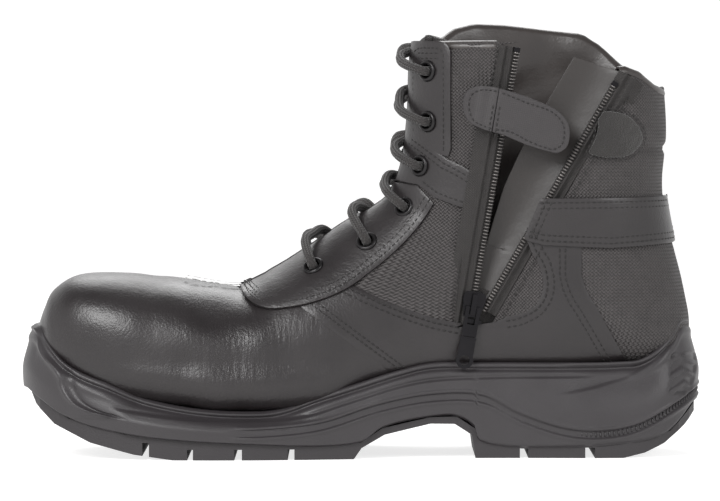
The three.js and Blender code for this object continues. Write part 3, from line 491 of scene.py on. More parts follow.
# %% [markdown]
# A sewn panel is flat leather or fabric cut to an outline and pulled over the last. It is made the
# same way: the outline is drawn as seen from the side, carried to t and angle, filled with an even
# net of triangles, lifted onto the last and given its thickness. A small bevel turns the cut edge.

# %% Panels
NET_T, NET_ANGLE = 26.0, 42.0  # millimetres that a unit of t and of angle are worth, about
EDGE_STEP = 1.6
NET_STEP = 2.2


def trace(corners, closed=True, step=EDGE_STEP):
    """Close points along an outline. A corner [x, z, cx, cz] is reached by a curve pulled to (cx, cz)."""
    corners = list(corners) + ([corners[0][:2]] if closed else [])
    line = [np.array(corners[0][:2], float)]
    for corner in corners[1:]:
        start, end = line[-1], np.array(corner[:2], float)
        n = max(2, int(np.ceil(np.linalg.norm(end - start) / step)))
        s = np.linspace(0, 1, n + 1)[1:, None]
        if len(corner) == 4:
            line.extend((1 - s) ** 2 * start + 2 * s * (1 - s) * np.array(corner[2:], float) + s * s * end)
        else:
            line.extend(start + s * (end - start))
    return np.array(line[:-1] if closed else line)


THROAT_T = float(locate(-57.0, 90.0)[0])  # the throat starts at this t


def thin_out(line, least):
    kept = [line[0]]
    for point in line[1:]:
        if np.linalg.norm(point - kept[-1]) >= least:
            kept.append(point)
    if np.linalg.norm(kept[-1] - kept[0]) < least:
        kept.pop()
    return np.array(kept)


def net_outline(corners, reach="one"):
    """The outline in the net's plane. reach is one side, or both sides joined over the top or the back."""
    points = trace(corners, closed=reach == "one")
    t, angle = locate(points[:, 0], points[:, 1])
    low = np.where((t > THROAT_T) | (reach != "top"), throat_angle(t), 0.0)
    angle = np.clip(angle, low, np.maximum(sole_angle(t), low + 0.01))
    if reach == "back":
        angle = np.where(points[:, 0] > 165, math.pi, angle)
    line = np.column_stack([t * NET_T, angle * NET_ANGLE])
    if reach == "top":
        line = np.vstack([line, (line * [1, -1])[::-1]])
    if reach == "back":
        line = np.vstack([line, (line * [1, -1] + [0, 2 * math.pi * NET_ANGLE])[::-1]])
    return thin_out(line, 0.5)





def inside(points, loop):
    x, y = points[:, 0], points[:, 1]
    result = np.zeros(len(points), bool)
    for (x0, y0), (x1, y1) in zip(loop, np.roll(loop, -1, axis=0)):
        if y0 != y1:
            result ^= ((y0 > y) != (y1 > y)) & (x < (x1 - x0) * (y - y0) / (y1 - y0) + x0)
    return result


def round_hole(t, angle, radius, count=20):
    """A true circle on the last, as net coordinates."""
    step = 0.01
    jacobian = np.column_stack([(skin_point(t + step, angle) - skin_point(t - step, angle)) / (2 * step),
                                (skin_point(t, angle + step) - skin_point(t, angle - step)) / (2 * step)])
    e1 = unit(jacobian[:, 0])
    e2 = np.cross(skin_normal(t, angle), e1)
    turn = np.linspace(0, 2 * math.pi, count, endpoint=False)
    ring = radius * (np.outer(np.cos(turn), e1) + np.outer(np.sin(turn), e2))
    shift = np.linalg.lstsq(jacobian, ring.T, rcond=None)[0].T
    return (np.array([t, angle]) + shift) * [NET_T, NET_ANGLE]


def net(loop, holes=(), step=NET_STEP):
    """Triangles that fill the loop: net points and faces."""
    low, high = loop.min(0), loop.max(0)
    grid = np.stack(np.meshgrid(np.arange(low[0], high[0], step), np.arange(low[1], high[1], step * 0.9)), -1)
    grid[1::2, :, 0] += step / 2
    grid = grid.reshape(-1, 2)
    grid = grid[inside(grid, loop)]
    rims = np.vstack([loop, *holes]) if len(holes) else loop
    tree = KDTree(len(rims))
    for i, p in enumerate(rims):
        tree.insert((*p, 0), i)
    tree.balance()
    far = [tree.find((*p, 0))[2] > step * 0.55 for p in grid]
    grid = grid[np.array(far, bool)] if len(grid) else grid
    for hole in holes:
        grid = grid[~inside(grid, hole)]
    points = [Vector(p) for p in np.vstack([rims, grid])]
    edges, start = [], 0
    for ring in [loop, *holes]:
        n = len(ring)
        edges += [(start + i, start + (i + 1) % n) for i in range(n)]
        start += n
    made = delaunay_2d_cdt(points, edges, [], 1, 1e-5)
    flat = np.array([tuple(p) for p in made[0]])
    faces = np.array([tuple(f) for f in made[2]])
    centres = flat[faces].mean(1)
    keep = inside(centres, loop)
    for hole in holes:
        keep &= ~inside(centres, hole)
    return flat, faces[keep]


def unrolled(points):
    """UV in metres: the way round an upright oval, and the height."""
    x, y, z = points[:, 0] - 82, points[:, 1], points[:, 2]
    turn = np.arctan2(y * 60 / 41, x)
    table = np.linspace(-math.pi, math.pi, 721)
    ring = np.column_stack([60 * np.cos(table), 41 * np.sin(table)])
    length = np.concatenate([[0], np.cumsum(np.linalg.norm(np.diff(ring, axis=0), axis=1))])
    return np.column_stack([np.interp(turn, table, length), z]) * MM


def make_mesh(name, points, faces, materials, uv=None, smooth=True):
    """points in millimetres."""
    mesh = bpy.data.meshes.new(name)
    mesh.from_pydata((np.asarray(points) * MM).tolist(), [], [list(map(int, f)) for f in faces])
    for made in materials:
        mesh.materials.append(made)
    if uv is not None:
        layer = mesh.uv_layers.new(name="unrolled")
        index = np.zeros(len(mesh.loops), np.int32)
        mesh.loops.foreach_get("vertex_index", index)
        layer.data.foreach_set("uv", uv[index].astype(np.float32).ravel())
    mesh.polygons.foreach_set("use_smooth", [smooth] * len(mesh.polygons))
    mesh.validate()
    return new_object(name, mesh)


def freeze(obj):
    """Replaces the object's mesh by what its modifiers make of it."""
    graph = bpy.context.evaluated_depsgraph_get()
    made = bpy.data.meshes.new_from_object(obj.evaluated_get(graph))
    obj.modifiers.clear()
    obj.data = made
    return obj


def thicken(obj, thickness, edge=0.45, segments=2):
    wall = obj.modifiers.new("thickness", "SOLIDIFY")
    wall.thickness = thickness * MM
    wall.offset = -1
    turn = obj.modifiers.new("cut_edge", "BEVEL")
    turn.width = edge * MM
    turn.segments = segments
    turn.limit_method = "ANGLE"
    turn.angle_limit = math.radians(50)
    return freeze(obj)


def edge_distance(points, rim):
    tree = KDTree(len(rim))
    for i, p in enumerate(rim):
        tree.insert(p, i)
    tree.balance()
    return np.array([tree.find(p)[2] for p in points])


def panel(name, corners, finish, offset=0.0, thickness=2.0, reach="one", side=-1, relief=None, holes=(),
          step=NET_STEP, edge=0.45):
    loop = net_outline(corners, reach)
    cut = [h for h in holes if inside(h.mean(0)[None], loop)[0]]
    flat, faces = net(loop, cut, step)
    t, angle = flat[:, 0] / NET_T, flat[:, 1] / NET_ANGLE
    rim = skin(loop[:, 0] / NET_T, loop[:, 1] / NET_ANGLE, offset)
    bare = skin(t, angle, offset)
    away = edge_distance(bare, rim)
    lift = offset + (relief(bare, away) if relief else 0.0)
    angle = angle if side < 0 else -angle
    points = skin(t, angle, lift)
    a, b, c = (points[faces[:, k]] for k in range(3))
    outward = np.einsum("ij,ij->i", np.cross(b - a, c - a), skin_normal(t, angle)[faces[:, 0]])
    faces = np.where((outward < 0)[:, None], faces[:, ::-1], faces)
    obj = make_mesh(name, points, faces, [finish], unrolled(points))
    return thicken(obj, thickness, edge)


print("panel tools ready")

# %% [markdown]
# The outlines, in millimetres as seen from the zip side. Leather pieces overlap like roof tiles: the
# nylon lies lowest, the quarters on it, then the facings and the strap. Each real overlap is kept, so
# each edge throws its own thin shadow.

# %% Outlines
VAMP_SEAM = [[-46, 100], [-28, 71.3], [20, 35.7]]
QUARTER_TOP = [[-6, 79.6], [34.1, 63.6, 14, 69.5], [46, 61.3]]
QUARTER_REAR = [[60, 62], [66, 64.8, 63, 63], [77.4, 69, 72, 65.5], [82.3, 80, 82.4, 73],
                [80.4, 88.5, 82, 84],
                [75, 99.2, 77, 93]]
HEEL_FRONT = [[96.8, 101], [96.8, 84], [103, 70, 98, 77], [122, 36]]
FACING_LOWER = [[-70, 84], [-56.4, 77.4], [-40, 67.6, -53, 67.6], [2, 83.4, -14, 70], [33, 116, 24, 99],
                [26, 123.6], [0, 127], [-80, 127]]
FACING_MIDDLE = [[0, 128], [17.2, 125.6], [26, 124.3], [33.5, 118.6], [43.6, 114.9], [52.6, 112.7],
                 [53.2, 128.4], [39.2, 136.2, 47, 133], [24, 147.6], [0, 150]]
FACING_UPPER = [[0, 143], [26, 141], [39.5, 137.4], [40.6, 141], [40.6, 184], [34, 190.2, 40.6, 190.2],
                [0, 190.2]]
STRAP = [[84.5, 118.6], [81, 118.6], [73.6, 101.2], [75.5, 99, 73.4, 99.4], [82.5, 97.2], [113, 95.8],
         [170, 99],
         [170, 119]]
PATCH = [[109.5, 158.4], [122.5, 154.5, 120, 158], [127, 144.5, 128, 150], [118.5, 137.3, 124, 138.5],
         [102.6, 139.6, 106, 136.5], [107, 154.6, 108, 148]]
front_edge = [zip_view(-ZIP_EDGE, -4.5), zip_view(-ZIP_EDGE, 125.5)]
rear_edge = [zip_view(ZIP_EDGE, 1.0, True), zip_view(ZIP_EDGE, 125.5, True)]


def clear_of(corners, dx, dz=0.0):
    return [[v + (dz if i % 2 else dx) for i, v in enumerate(c)] for c in corners]


def back_along(corners):
    """The same line drawn the other way."""
    pulls = [c[2:] for c in corners[1:]] + [[]]
    return [[*c[:2], *pull] for c, pull in zip(corners, pulls)][::-1]


EYELETS = [[-22, 86], [2.3, 97.5], [19.9, 113.5], [27.3, 133], [30.8, 153.4], [30.8, 176.5]]
EYELET_HOLE = 3.3
seat_t, seat_angle = locate(*np.array(EYELETS).T)
eyelet_holes = [round_hole(t, a, EYELET_HOLE) for t, a in zip(seat_t, seat_angle)]
print("eyelets a side", len(EYELETS))

# %% [markdown]
# Padded nylon swells between its seams, and pulled leather dips beside them. A relief is a small
# height added by the distance from the edge and the place on the boot.

# %% Reliefs
def smooth_step(x):
    x = np.clip(x, 0, 1)
    return x * x * (3 - 2 * x)


def ripple(points, size, seed=0.0):
    """Slow bumps of about one, from sines in skewed directions."""
    x, y, z = (points / size).T
    waves = np.sin(x * 1.1 + z * 0.7 + seed) + np.sin(z * 1.3 - x * 0.5 + y + 2.1 + seed)
    return (waves + np.sin(x * 2.3 + y * 1.7 - z * 1.9 + seed * 1.7) * 0.6) / 2.6


def padded_relief(points, away):
    swell = 1.5 * (1 - np.exp(-away / 6.0)) - 0.9
    return swell + 0.35 * ripple(points, 9.0)


def rear_relief(points, away):
    groove = -1.6 * np.exp(-((points[:, 2] - 141.0) / 1.8) ** 2) * smooth_step((points[:, 0] - 122) / 6)
    return padded_relief(points, away) + groove


def leather_relief(points, away):
    return -0.35 * np.exp(-away / 2.5) + 0.18 * ripple(points, 16.0, 1.0)


def vamp_relief(points, away):
    x, z = points[:, 0], points[:, 2]
    flex = smooth_step((x + 95) / 20) * smooth_step((-14 - x) / 20)
    folds = np.sin((x * 0.85 + z * 0.55) / 3.4 + 1.5 * np.sin(z / 13)) * 0.22
    cap = 0.5 * np.exp(-((x + 96) / 6) ** 2) * smooth_step((z - 45) / 15)
    lasted = 6.0 * smooth_step((46 - z) / 18) * smooth_step((6 - x) / 26) * smooth_step((x + 146) / 14)
    return flex * (folds + 0.25 * ripple(points, 7.0, 3.0)) - cap + 0.15 * ripple(points, 30.0) + lasted


print("reliefs", 4)

# %% Upper panels
def on_root(obj, nodes):
    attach(obj, "root")
    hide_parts(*nodes)
    return obj


vamp_corners = [[-57, 120], [-52, 120], *VAMP_SEAM, [24, 0], [-170, 0], [-170, 30]]
on_root(panel("vamp_leather", vamp_corners, VAMP_LEATHER, reach="top", relief=vamp_relief),
        ["vamp"])

quarter_corners = [*clear_of(VAMP_SEAM, -3), [20, 0], [126, 0], *back_along(clear_of(HEEL_FRONT, 3)),
                   [76, 101], *back_along(QUARTER_REAR), zip_view(-ZIP_EDGE, -5.5), *back_along(QUARTER_TOP),
                   [-36, 102]]
for side, word in ((-1, "medial"), (1, "lateral")):
    on_root(panel(f"quarter_leather_{word}", quarter_corners, LEATHER, 0.5, 2.0, side=side,
                  relief=leather_relief, holes=eyelet_holes), [f"quarter_{word}"])

heel_corners = [[170, 103], [94, 103], *HEEL_FRONT[1:], [126, 20], [170, 20]]
on_root(panel("heel_nylon", heel_corners, NYLON, 0.0, 2.0, reach="back", relief=padded_relief),
        ["heel_panel"])

nylon_front = [[-40, 104], *clear_of(QUARTER_TOP, -1, -4), *front_edge, [70, 189.5], [26, 189.5], [10, 188]]
on_root(panel("front_nylon_medial", nylon_front, NYLON, -0.2, 2.0, relief=padded_relief, holes=eyelet_holes),
        ["front_panel_medial"])

side_nylon = [[-40, 104], *clear_of(QUARTER_TOP, -1, -4), [66, 60], [88, 84], [84, 100], [170, 100],
              [170, 166], *[[x, z - 1] for x, z in COLLAR_LATERAL[::-1]], [0, 184]]
on_root(panel("side_nylon_lateral", side_nylon, NYLON, -0.2, 2.0, side=1, relief=rear_relief,
              holes=eyelet_holes),
        ["side_panel_lateral"])

# %% [markdown]
# The rear half of the zip swings forward when the boot is closed, and takes the collar behind it
# along. Fabric does that by stretching between the zip and the heel. Here those pieces are only set in
# place, with their placing baked into the mesh. The quarter and the heel nylon stay still and run on
# under the strap, which covers what slides.

# %% Pieces on the zip's rear side, and the facings
REAR_ACROSS = zip_point(1.0, 0.0, 0.0, True) - zip_point(0.0, 0.0, 0.0, True)
MOVES = zip_point(7.0, 60.0, 0.0, True)


def follow_zip(obj, nodes):
    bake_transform(obj)
    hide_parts(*nodes)
    return obj


nylon_rear = [rear_edge[0], [70, 54], [92, 60], [96, 84], [92, 100], [170, 100], [170, 165],
              [136, 169.5], [128, 175.5], [121, 178], rear_edge[1]]
follow_zip(panel("rear_nylon_medial", nylon_rear, NYLON, -0.2, 2.0, relief=rear_relief),
           ["rear_panel_medial"])
strap_path = [STRAP[-1], *STRAP[:-1]]
follow_zip(panel("ankle_strap_leather", strap_path, LEATHER, 2.0, 1.6, reach="back", relief=leather_relief),
           ["ankle_strap"])
follow_zip(panel("loop_patch_pile", PATCH, LOOP_PILE, 1.6, 1.4, relief=lambda p, away: 0.3 * ripple(p, 3.0),
                 step=1.6, edge=0.6), ["loop_patch"])
for side, word in ((-1, "medial"), (1, "lateral")):
    for level, corners in (("lower", FACING_LOWER), ("middle", FACING_MIDDLE), ("upper", FACING_UPPER)):
        lift = 2.0 if level == "lower" else 1.7
        piece = panel(f"facing_{level}_leather_{word}", corners, LEATHER, lift, 1.6, side=side,
                      relief=leather_relief, holes=eyelet_holes)
        on_root(piece, [f"facing_{level}_{word}"])
print("overlays and facings", 9)

# %% [markdown]
# Thread shows as rows of short, plump stitches, each pulled a little into the leather. Nobody would
# place a thousand of them by hand: Geometry Nodes walk each seam line, drop a capsule every few
# millimetres and turn it along the line.

# %% Stitch tree
def new_tree(name, inputs):
    """A node group with named inputs: a dict of socket name to (kind, default)."""
    tree = bpy.data.node_groups.new(name, "GeometryNodeTree")
    tree.interface.new_socket("Geometry", in_out="INPUT", socket_type="NodeSocketGeometry")
    tree.interface.new_socket("Geometry", in_out="OUTPUT", socket_type="NodeSocketGeometry")
    for label, (kind, value) in inputs.items():
        socket = tree.interface.new_socket(label, in_out="INPUT", socket_type=kind)
        if value is not None:
            socket.default_value = value
    return tree, tree.nodes.new("NodeGroupInput"), tree.nodes.new("NodeGroupOutput")


def finish_tree(tree, given, out, instances):
    solid = node(tree, "GeometryNodeRealizeInstances", {0: instances})
    painted = node(tree, "GeometryNodeSetMaterial",
                   {"Geometry": solid.outputs[0], "Material": given.outputs["Material"]})
    tree.links.new(painted.outputs[0], out.inputs[0])
    return tree


def grow(name, source, tree, values):
    """Runs the tree on the source object, and returns the result as a plain mesh object."""
    modifier = source.modifiers.new("grow", "NODES")
    modifier.node_group = tree
    sockets = {s.name: s.identifier for s in tree.interface.items_tree if s.in_out == "INPUT"}
    for label, value in values.items():
        modifier[sockets[label]] = value
    graph = bpy.context.evaluated_depsgraph_get()
    mesh = bpy.data.meshes.new_from_object(source.evaluated_get(graph))
    mesh.name = name
    mesh.polygons.foreach_set("use_smooth", [True] * len(mesh.polygons))
    bpy.data.objects.remove(source)
    return new_object(name, mesh)


def stitch_tree():
    tree, given, out = new_tree("sewn_seam", {
        "Pitch": ("NodeSocketFloat", 0.0026), "Length": ("NodeSocketFloat", 0.0019),
        "Thread": ("NodeSocketFloat", 0.0007), "Material": ("NodeSocketMaterial", None)})
    walk = node(tree, "GeometryNodeCurveToPoints", {"Curve": given.outputs["Geometry"],
                                                    "Length": given.outputs["Pitch"]}, mode="LENGTH")
    ball = node(tree, "GeometryNodeMeshUVSphere", {"Segments": 6, "Rings": 5, "Radius": 0.5})
    size = node(tree, "ShaderNodeCombineXYZ", {0: given.outputs["Thread"], 1: given.outputs["Thread"],
                                               2: given.outputs["Length"]})
    capsule = node(tree, "GeometryNodeTransform", {"Geometry": ball.outputs[0], "Scale": size.outputs[0]})
    turn = node(tree, "FunctionNodeAlignRotationToVector", {"Vector": walk.outputs["Tangent"]}, axis="Z")
    placed = node(tree, "GeometryNodeInstanceOnPoints",
                  {"Points": walk.outputs[0], "Instance": capsule.outputs[0],
                                                         "Rotation": turn.outputs[0]})
    return finish_tree(tree, given, out, placed.outputs[0])


def lines_object(rows):
    """rows of points in millimetres as one curve object."""
    curve = bpy.data.curves.new("rows", "CURVE")
    curve.dimensions = "3D"
    for row in rows:
        spline = curve.splines.new("POLY")
        spline.points.add(len(row) - 1)
        spline.points.foreach_set("co", np.column_stack([row * MM, np.ones(len(row))]).ravel())
    return new_object("rows", curve)


SEWN = stitch_tree()
print("tree", SEWN.name)

# %% [markdown]
# Each seam line is a line of an outline, moved inwards by the margin that the sewer keeps. Double
# rows hold what carries load, and short bars lock the corner where the throat opens.

# %% Seam lines
def beside(corners, distance, step=1.2):
    """The traced line, moved to its left by the distance, in the side view."""
    line = trace(corners, closed=False, step=step)
    along = unit(np.gradient(line, axis=0))
    return line + np.column_stack([-along[:, 1], along[:, 0]]) * distance


def on_last(line, lift, side):
    t, angle = locate(line[:, 0], line[:, 1])
    found = skin(t, angle if side < 0 else -angle, lift)
    return found[np.abs(found[:, 0] - line[:, 0]) < 3.5]


lower_edge = FACING_LOWER[1:5]
upper_loop = [[24.6, 149.5], [24.6, 183], [29, 187, 24.6, 187], [33, 187], [37.6, 183, 37.6, 187],
              [37.6, 141]]
# line, margins in millimetres, lift over the last
FIXED_SEAMS = [
    (VAMP_SEAM[1:], (2.0, 4.2), 0.55),
    (lower_edge, (2.2, 4.6), 1.9),
    (QUARTER_TOP, (-2.0, -4.6), 0.5),
    (QUARTER_REAR[1:], (-2.0, -5.0), 0.5),
    ([[94.0, 100], [94.0, 84], [100.5, 69, 95, 76.5], [119, 38]], (-1.6, -4.2), 0.5),
    ([[27.5, 123.4], [33.5, 118.6], [43.6, 114.9], [52, 112.7]], (2.4,), 1.6),
    ([[52.4, 128.2], [39.2, 136, 46.5, 132.8], [25.5, 146.5]], (2.2, 4.4), 1.6),
    (upper_loop, (0.0,), 1.55),
    ([[27, 184.6], [34.5, 184.6]], (0.0, -2.4), 1.6),
    ([[-52.4, 79], [-47, 75.6]], (0.0, -1.6, -3.2), 1.95),
    ([zip_view(-ZIP_EDGE, 2.0), zip_view(-ZIP_EDGE, 122.0)], (2.6,), 0.35),
]
rows = [on_last(beside(line, gap), lift, side) for line, gaps,
        lift in FIXED_SEAMS for gap in gaps for side in (-1, 1)
        if not (side > 0 and line[0][0] > 50 and line[0][0] < 60)]
seams = grow("thread_fixed_seams", lines_object(rows), SEWN, {"Material": THREAD})
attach(seams, "root")

strap_top = [[168, 119], [84.5, 118.6], [81.6, 118.4]]
strap_end = [[81.2, 118.2], [73.8, 101.0], [75.6, 98.8, 73.4, 99.4]]
strap_low = [[76, 98.7], [82.5, 97.2], [113, 95.8], [168, 99]]
MOVING_SEAMS = [
    (strap_top, (2.0, 4.6), 1.9, (-1, 1)), (strap_end, (2.6, 5.0), 1.9, (-1, 1)),
    (strap_low, (2.0, 4.6), 1.9, (-1, 1)),
    (PATCH + [PATCH[0]], (1.3,), 1.7, (-1,)),
    ([zip_view(ZIP_EDGE, 8.0, True), zip_view(ZIP_EDGE, 124.0, True)], (-2.4,), 0.35, (-1,)),
]
rows = [on_last(beside(line, gap), lift, side) for line, gaps, lift, sides in MOVING_SEAMS for gap in gaps
        for side in sides]
seams = grow("thread_moving_seams", lines_object(rows), SEWN, {"Material": THREAD})
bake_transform(seams)

# %% [markdown]
# Lacquered eyelets are rolled rings with a short barrel through the facing. One ring is drawn from
# two circles, and Geometry Nodes set it on each point with its axis along the skin's normal.

# %% Eyelets
def eyelet_tree():
    tree, given, out = new_tree("rolled_eyelets", {
        "Ring": ("NodeSocketFloat", 0.0040), "Roll": ("NodeSocketFloat", 0.0010),
        "Barrel": ("NodeSocketFloat", 0.0034), "Material": ("NodeSocketMaterial", None)})
    ring = node(tree, "GeometryNodeCurvePrimitiveCircle", {"Resolution": 32, "Radius": given.outputs["Ring"]})
    roll = node(tree, "GeometryNodeCurvePrimitiveCircle", {"Resolution": 10, "Radius": given.outputs["Roll"]})
    flange = node(tree, "GeometryNodeCurveToMesh",
                  {"Curve": ring.outputs[0], "Profile Curve": roll.outputs[0]})
    bore = node(tree, "GeometryNodeCurvePrimitiveCircle",
                {"Resolution": 32, "Radius": given.outputs["Barrel"]})
    wall = node(tree, "GeometryNodeCurvePrimitiveQuadrilateral", {"Width": 0.0005, "Height": 0.0044})
    barrel = node(tree, "GeometryNodeCurveToMesh",
                  {"Curve": bore.outputs[0], "Profile Curve": wall.outputs[0]})
    sunk = node(tree, "GeometryNodeTransform",
                {"Geometry": barrel.outputs[0], "Translation": (0, 0, -0.0016)})
    both = node(tree, "GeometryNodeJoinGeometry", {0: flange.outputs[0]})
    tree.links.new(sunk.outputs[0], both.inputs[0])
    facing = node(tree, "GeometryNodeInputNamedAttribute", {"Name": "facing"}, data_type="FLOAT_VECTOR")
    turn = node(tree, "FunctionNodeAlignRotationToVector", {"Vector": facing.outputs[0]}, axis="Z")
    placed = node(tree, "GeometryNodeInstanceOnPoints", {"Points": given.outputs["Geometry"],
                                                         "Instance": both.outputs[0],
                                                         "Rotation": turn.outputs[0]})
    return finish_tree(tree, given, out, placed.outputs[0])


EYELET_SEAT = 2.0  # height of the ring's centre over the last
seats = np.vstack([skin(seat_t, sign * seat_angle, EYELET_SEAT) for sign in (1, -1)])
facings = np.vstack([skin_normal(seat_t, sign * seat_angle) for sign in (1, -1)])
mesh = bpy.data.meshes.new("eyelet_seats")
mesh.from_pydata((seats * MM).tolist(), [], [])
mesh.attributes.new("facing", "FLOAT_VECTOR", "POINT").data.foreach_set("vector", facings.ravel())
eyelets = grow("eyelet_rings", new_object("eyelet_seats", mesh), eyelet_tree(), {"Material": EYELET_METAL})
on_root(eyelets, [n for n in frame["nodes"] if n.startswith("eyelet_")])
print("eyelets", len(seats))

# %% [markdown]
# The lace is one round braid. It comes out of each eyelet, humps over the edge of the facing, crosses
# the tongue and dives in under the other facing. Its route is the CAD lace's own, and the braid is
# drawn on a UV map that runs along the tube and round it.

# %% Lace
LACE = 4.3  # millimetres
LACE_SIDES = 14


def across_throat(t, y, lift):
    """The points over the throat at these y from the middle."""
    t, y = np.broadcast_arrays(np.asarray(t, float), np.asarray(y, float))
    low, high = np.zeros(t.shape), np.full(t.shape, math.pi / 2)
    for _ in range(24):
        middle = (low + high) / 2
        near = np.abs(skin_point(t, middle)[..., 1] - section(t)["shift"]) < np.abs(y)
        low, high = np.where(near, middle, low), np.where(near, high, middle)
    return skin(t, np.where(y < 0, low, -low), lift)


def centripetal(points, per_span=10):
    """A smooth curve through the points that doesn't loop at close ones."""
    points = np.asarray(points, float)
    padded = np.vstack([2 * points[0] - points[1], points, 2 * points[-1] - points[-2]])
    out = []
    for p0, p1, p2, p3 in zip(padded, padded[1:], padded[2:], padded[3:]):
        t0 = 0.0
        t1 = t0 + max(np.linalg.norm(p1 - p0), 1e-3) ** 0.5
        t2 = t1 + max(np.linalg.norm(p2 - p1), 1e-3) ** 0.5
        t3 = t2 + max(np.linalg.norm(p3 - p2), 1e-3) ** 0.5
        s = np.linspace(t1, t2, per_span, endpoint=False)[:, None]
        a1 = (t1 - s) / (t1 - t0) * p0 + (s - t0) / (t1 - t0) * p1
        a2 = (t2 - s) / (t2 - t1) * p1 + (s - t1) / (t2 - t1) * p2
        a3 = (t3 - s) / (t3 - t2) * p2 + (s - t2) / (t3 - t2) * p3
        b1 = (t2 - s) / (t2 - t0) * a1 + (s - t0) / (t2 - t0) * a2
        b2 = (t3 - s) / (t3 - t1) * a2 + (s - t1) / (t3 - t1) * a3
        out.append((t2 - s) / (t2 - t1) * b1 + (s - t1) / (t2 - t1) * b2)
    return np.vstack([*out, points[-1:]])


def tube(name, line, radius, finish, sides=LACE_SIDES, flat=1.0):
    """A closed round tube along the line, with UV along and round it in metres."""
    along = unit(np.gradient(line, axis=0))
    side = np.zeros_like(along)
    side[0] = unit(np.cross(along[0], [0.3, 1, 0.2]))
    for i in range(1, len(line)):
        side[i] = unit(side[i - 1] - along[i] * np.dot(side[i - 1], along[i]))
    third = np.cross(along, side)
    turn = np.linspace(0, 2 * math.pi, sides, endpoint=False)
    ring = (np.cos(turn)[None, :, None] * side[:, None]
            + flat * np.sin(turn)[None, :, None] * third[:, None]) * radius
    points = (line[:, None] + ring).reshape(-1, 3)
    n = len(line)
    faces = [(i * sides + j, i * sides + (j + 1) % sides, (i + 1) * sides + (j + 1) % sides,
              (i + 1) * sides + j)
             for i in range(n - 1) for j in range(sides)]
    faces += [tuple(range(sides))[::-1], tuple((n - 1) * sides + j for j in range(sides))]
    length = np.concatenate([[0], np.cumsum(np.linalg.norm(np.diff(line, axis=0), axis=1))])
    made = make_mesh(name, points, faces, [finish])
    layer = made.data.uv_layers.new(name="unrolled")
    index = np.zeros(len(made.data.loops), np.int32)
    made.data.loops.foreach_get("vertex_index", index)
    row, column = index // sides, index % sides
    start = np.zeros(len(index))
    poly = np.repeat(np.arange(len(made.data.polygons)), [p.loop_total for p in made.data.polygons])
    wrap = (poly % sides == sides - 1) & (column == 0)  # the last face of a ring ends where the first begins
    start[wrap] = sides
    uv = np.column_stack([length[row], (column + start) / sides * 2 * math.pi * radius]) * MM
    layer.data.foreach_set("uv", uv.astype(np.float32).ravel())
    return made


def lace_route():
    out_level = 2.0 + 1.0 + LACE / 2 - 0.5
    in_level = -2.2 - LACE / 2
    def at(side, i, lift):
        return skin(seat_t[i], -side * seat_angle[i], lift)
    def crossing(side, i, lift):
        t0 = seat_t[i]
        t1 = seat_t[i + 1] if i < len(EYELETS) - 1 else t0 + 1.0
        def over(share, y, height):
            return across_throat(t0 + (t1 - t0) * share, y, height)
        return [at(side, i, in_level), at(side, i, 0.0), at(side, i, out_level - 0.2),
                over(0.10, side * 18.5, out_level + 2.2), over(0.26, side * 11, out_level + 0.4),
                over(0.48, side * 2, lift), over(0.59, -side * 5.8, in_level),
                over(0.74, -side * 13, in_level - 0.25),
                over(0.88, -side * 19, in_level - 0.25)]
    def strand(first):
        sides = [first if i % 2 == 0 else -first for i in range(len(EYELETS))]
        return [p for i, side in enumerate(sides) for p in crossing(side, i, 2.8 if first < 0 else -2.4)]
    bar = [across_throat(seat_t[0] - 0.12, 14 * k, in_level + 0.15) for k in (-1, 0, 1)]
    return [*strand(-1)[::-1], *bar, *strand(1)]


lace_line = centripetal(lace_route(), 8)
lace = tube("lace_braid", lace_line, LACE / 2, LACE_BRAID)
on_root(lace, ["lace"])
print("lace length in mm", round(float(np.linalg.norm(np.diff(lace_line, axis=0), axis=1).sum())))

# %% [markdown]
# The tongue is padded nylon that fills the throat behind the lace, and ends in a soft roll above the
# top eyelets. It is a grid across the throat, thickened and rounded.

# %% Tongue
def grid_faces(rows, columns):
    return [(i * columns + j, i * columns + j + 1, (i + 1) * columns + j + 1, (i + 1) * columns + j)
            for i in range(rows - 1) for j in range(columns - 1)]


def outward_grid(name, points, finish, thickness, edge=0.6):
    """points[row, column] as a sheet whose faces look away from the inside of the boot."""
    rows, columns = points.shape[:2]
    flat = points.reshape(-1, 3)
    faces = np.array(grid_faces(rows, columns))
    a, b, d = (flat[faces[:, k]] for k in (0, 1, 3))
    middle = np.array([60, 0, 110])
    if np.einsum("ij,ij->i", np.cross(b - a, d - a), a - middle).sum() < 0:
        faces = faces[:, ::-1]
    obj = make_mesh(name, flat, faces, [finish], unrolled(flat))
    return thicken(obj, thickness, edge)


TONGUE_LIFT = -7.0
tongue_t = np.linspace(float(locate(-62.0, 90.0)[0]), 16.9, 70)
tongue_y = np.linspace(-27, 27, 29)
points = across_throat(tongue_t[:, None], np.where(np.abs(tongue_y) > 0.01, tongue_y, 0.01)[None, :],
                       TONGUE_LIFT)
puff = 1.2 * np.cos(tongue_y / 27 * math.pi / 2)[None, :] * np.ones((len(tongue_t), 1))
points += np.array([-0.85, 0, 0.5]) * (puff + 0.4 * np.sin(tongue_t * 6.0)[:, None])[..., None]
tongue = outward_grid("tongue_padded", points, NYLON, 3.2)
on_root(tongue, ["tongue"])
print("tongue rows", len(tongue_t))

# %% [markdown]
# The collar is lined with glazed leather over foam: it rolls over the top edge and runs down inside
# to the footbed. Each column of the lining starts on the outside, turns over a small half circle and
# goes down. Pulled folds at the front and over the far side show that it is soft.

# %% Collar lining
ROLL = 3.3
ROLL_DEPTH = -3.6
COLUMN_STEP = 0.045


def edge_angle(offset_x, rear):
    """The angle of a zip edge as a function of t."""
    y = np.linspace(0, 150, 60)
    p = zip_point(offset_x, y, 0.0, rear)
    t, angle = locate(p[:, 0], p[:, 2])
    order = np.argsort(t)
    return lambda at: np.interp(at, t[order], angle[order])


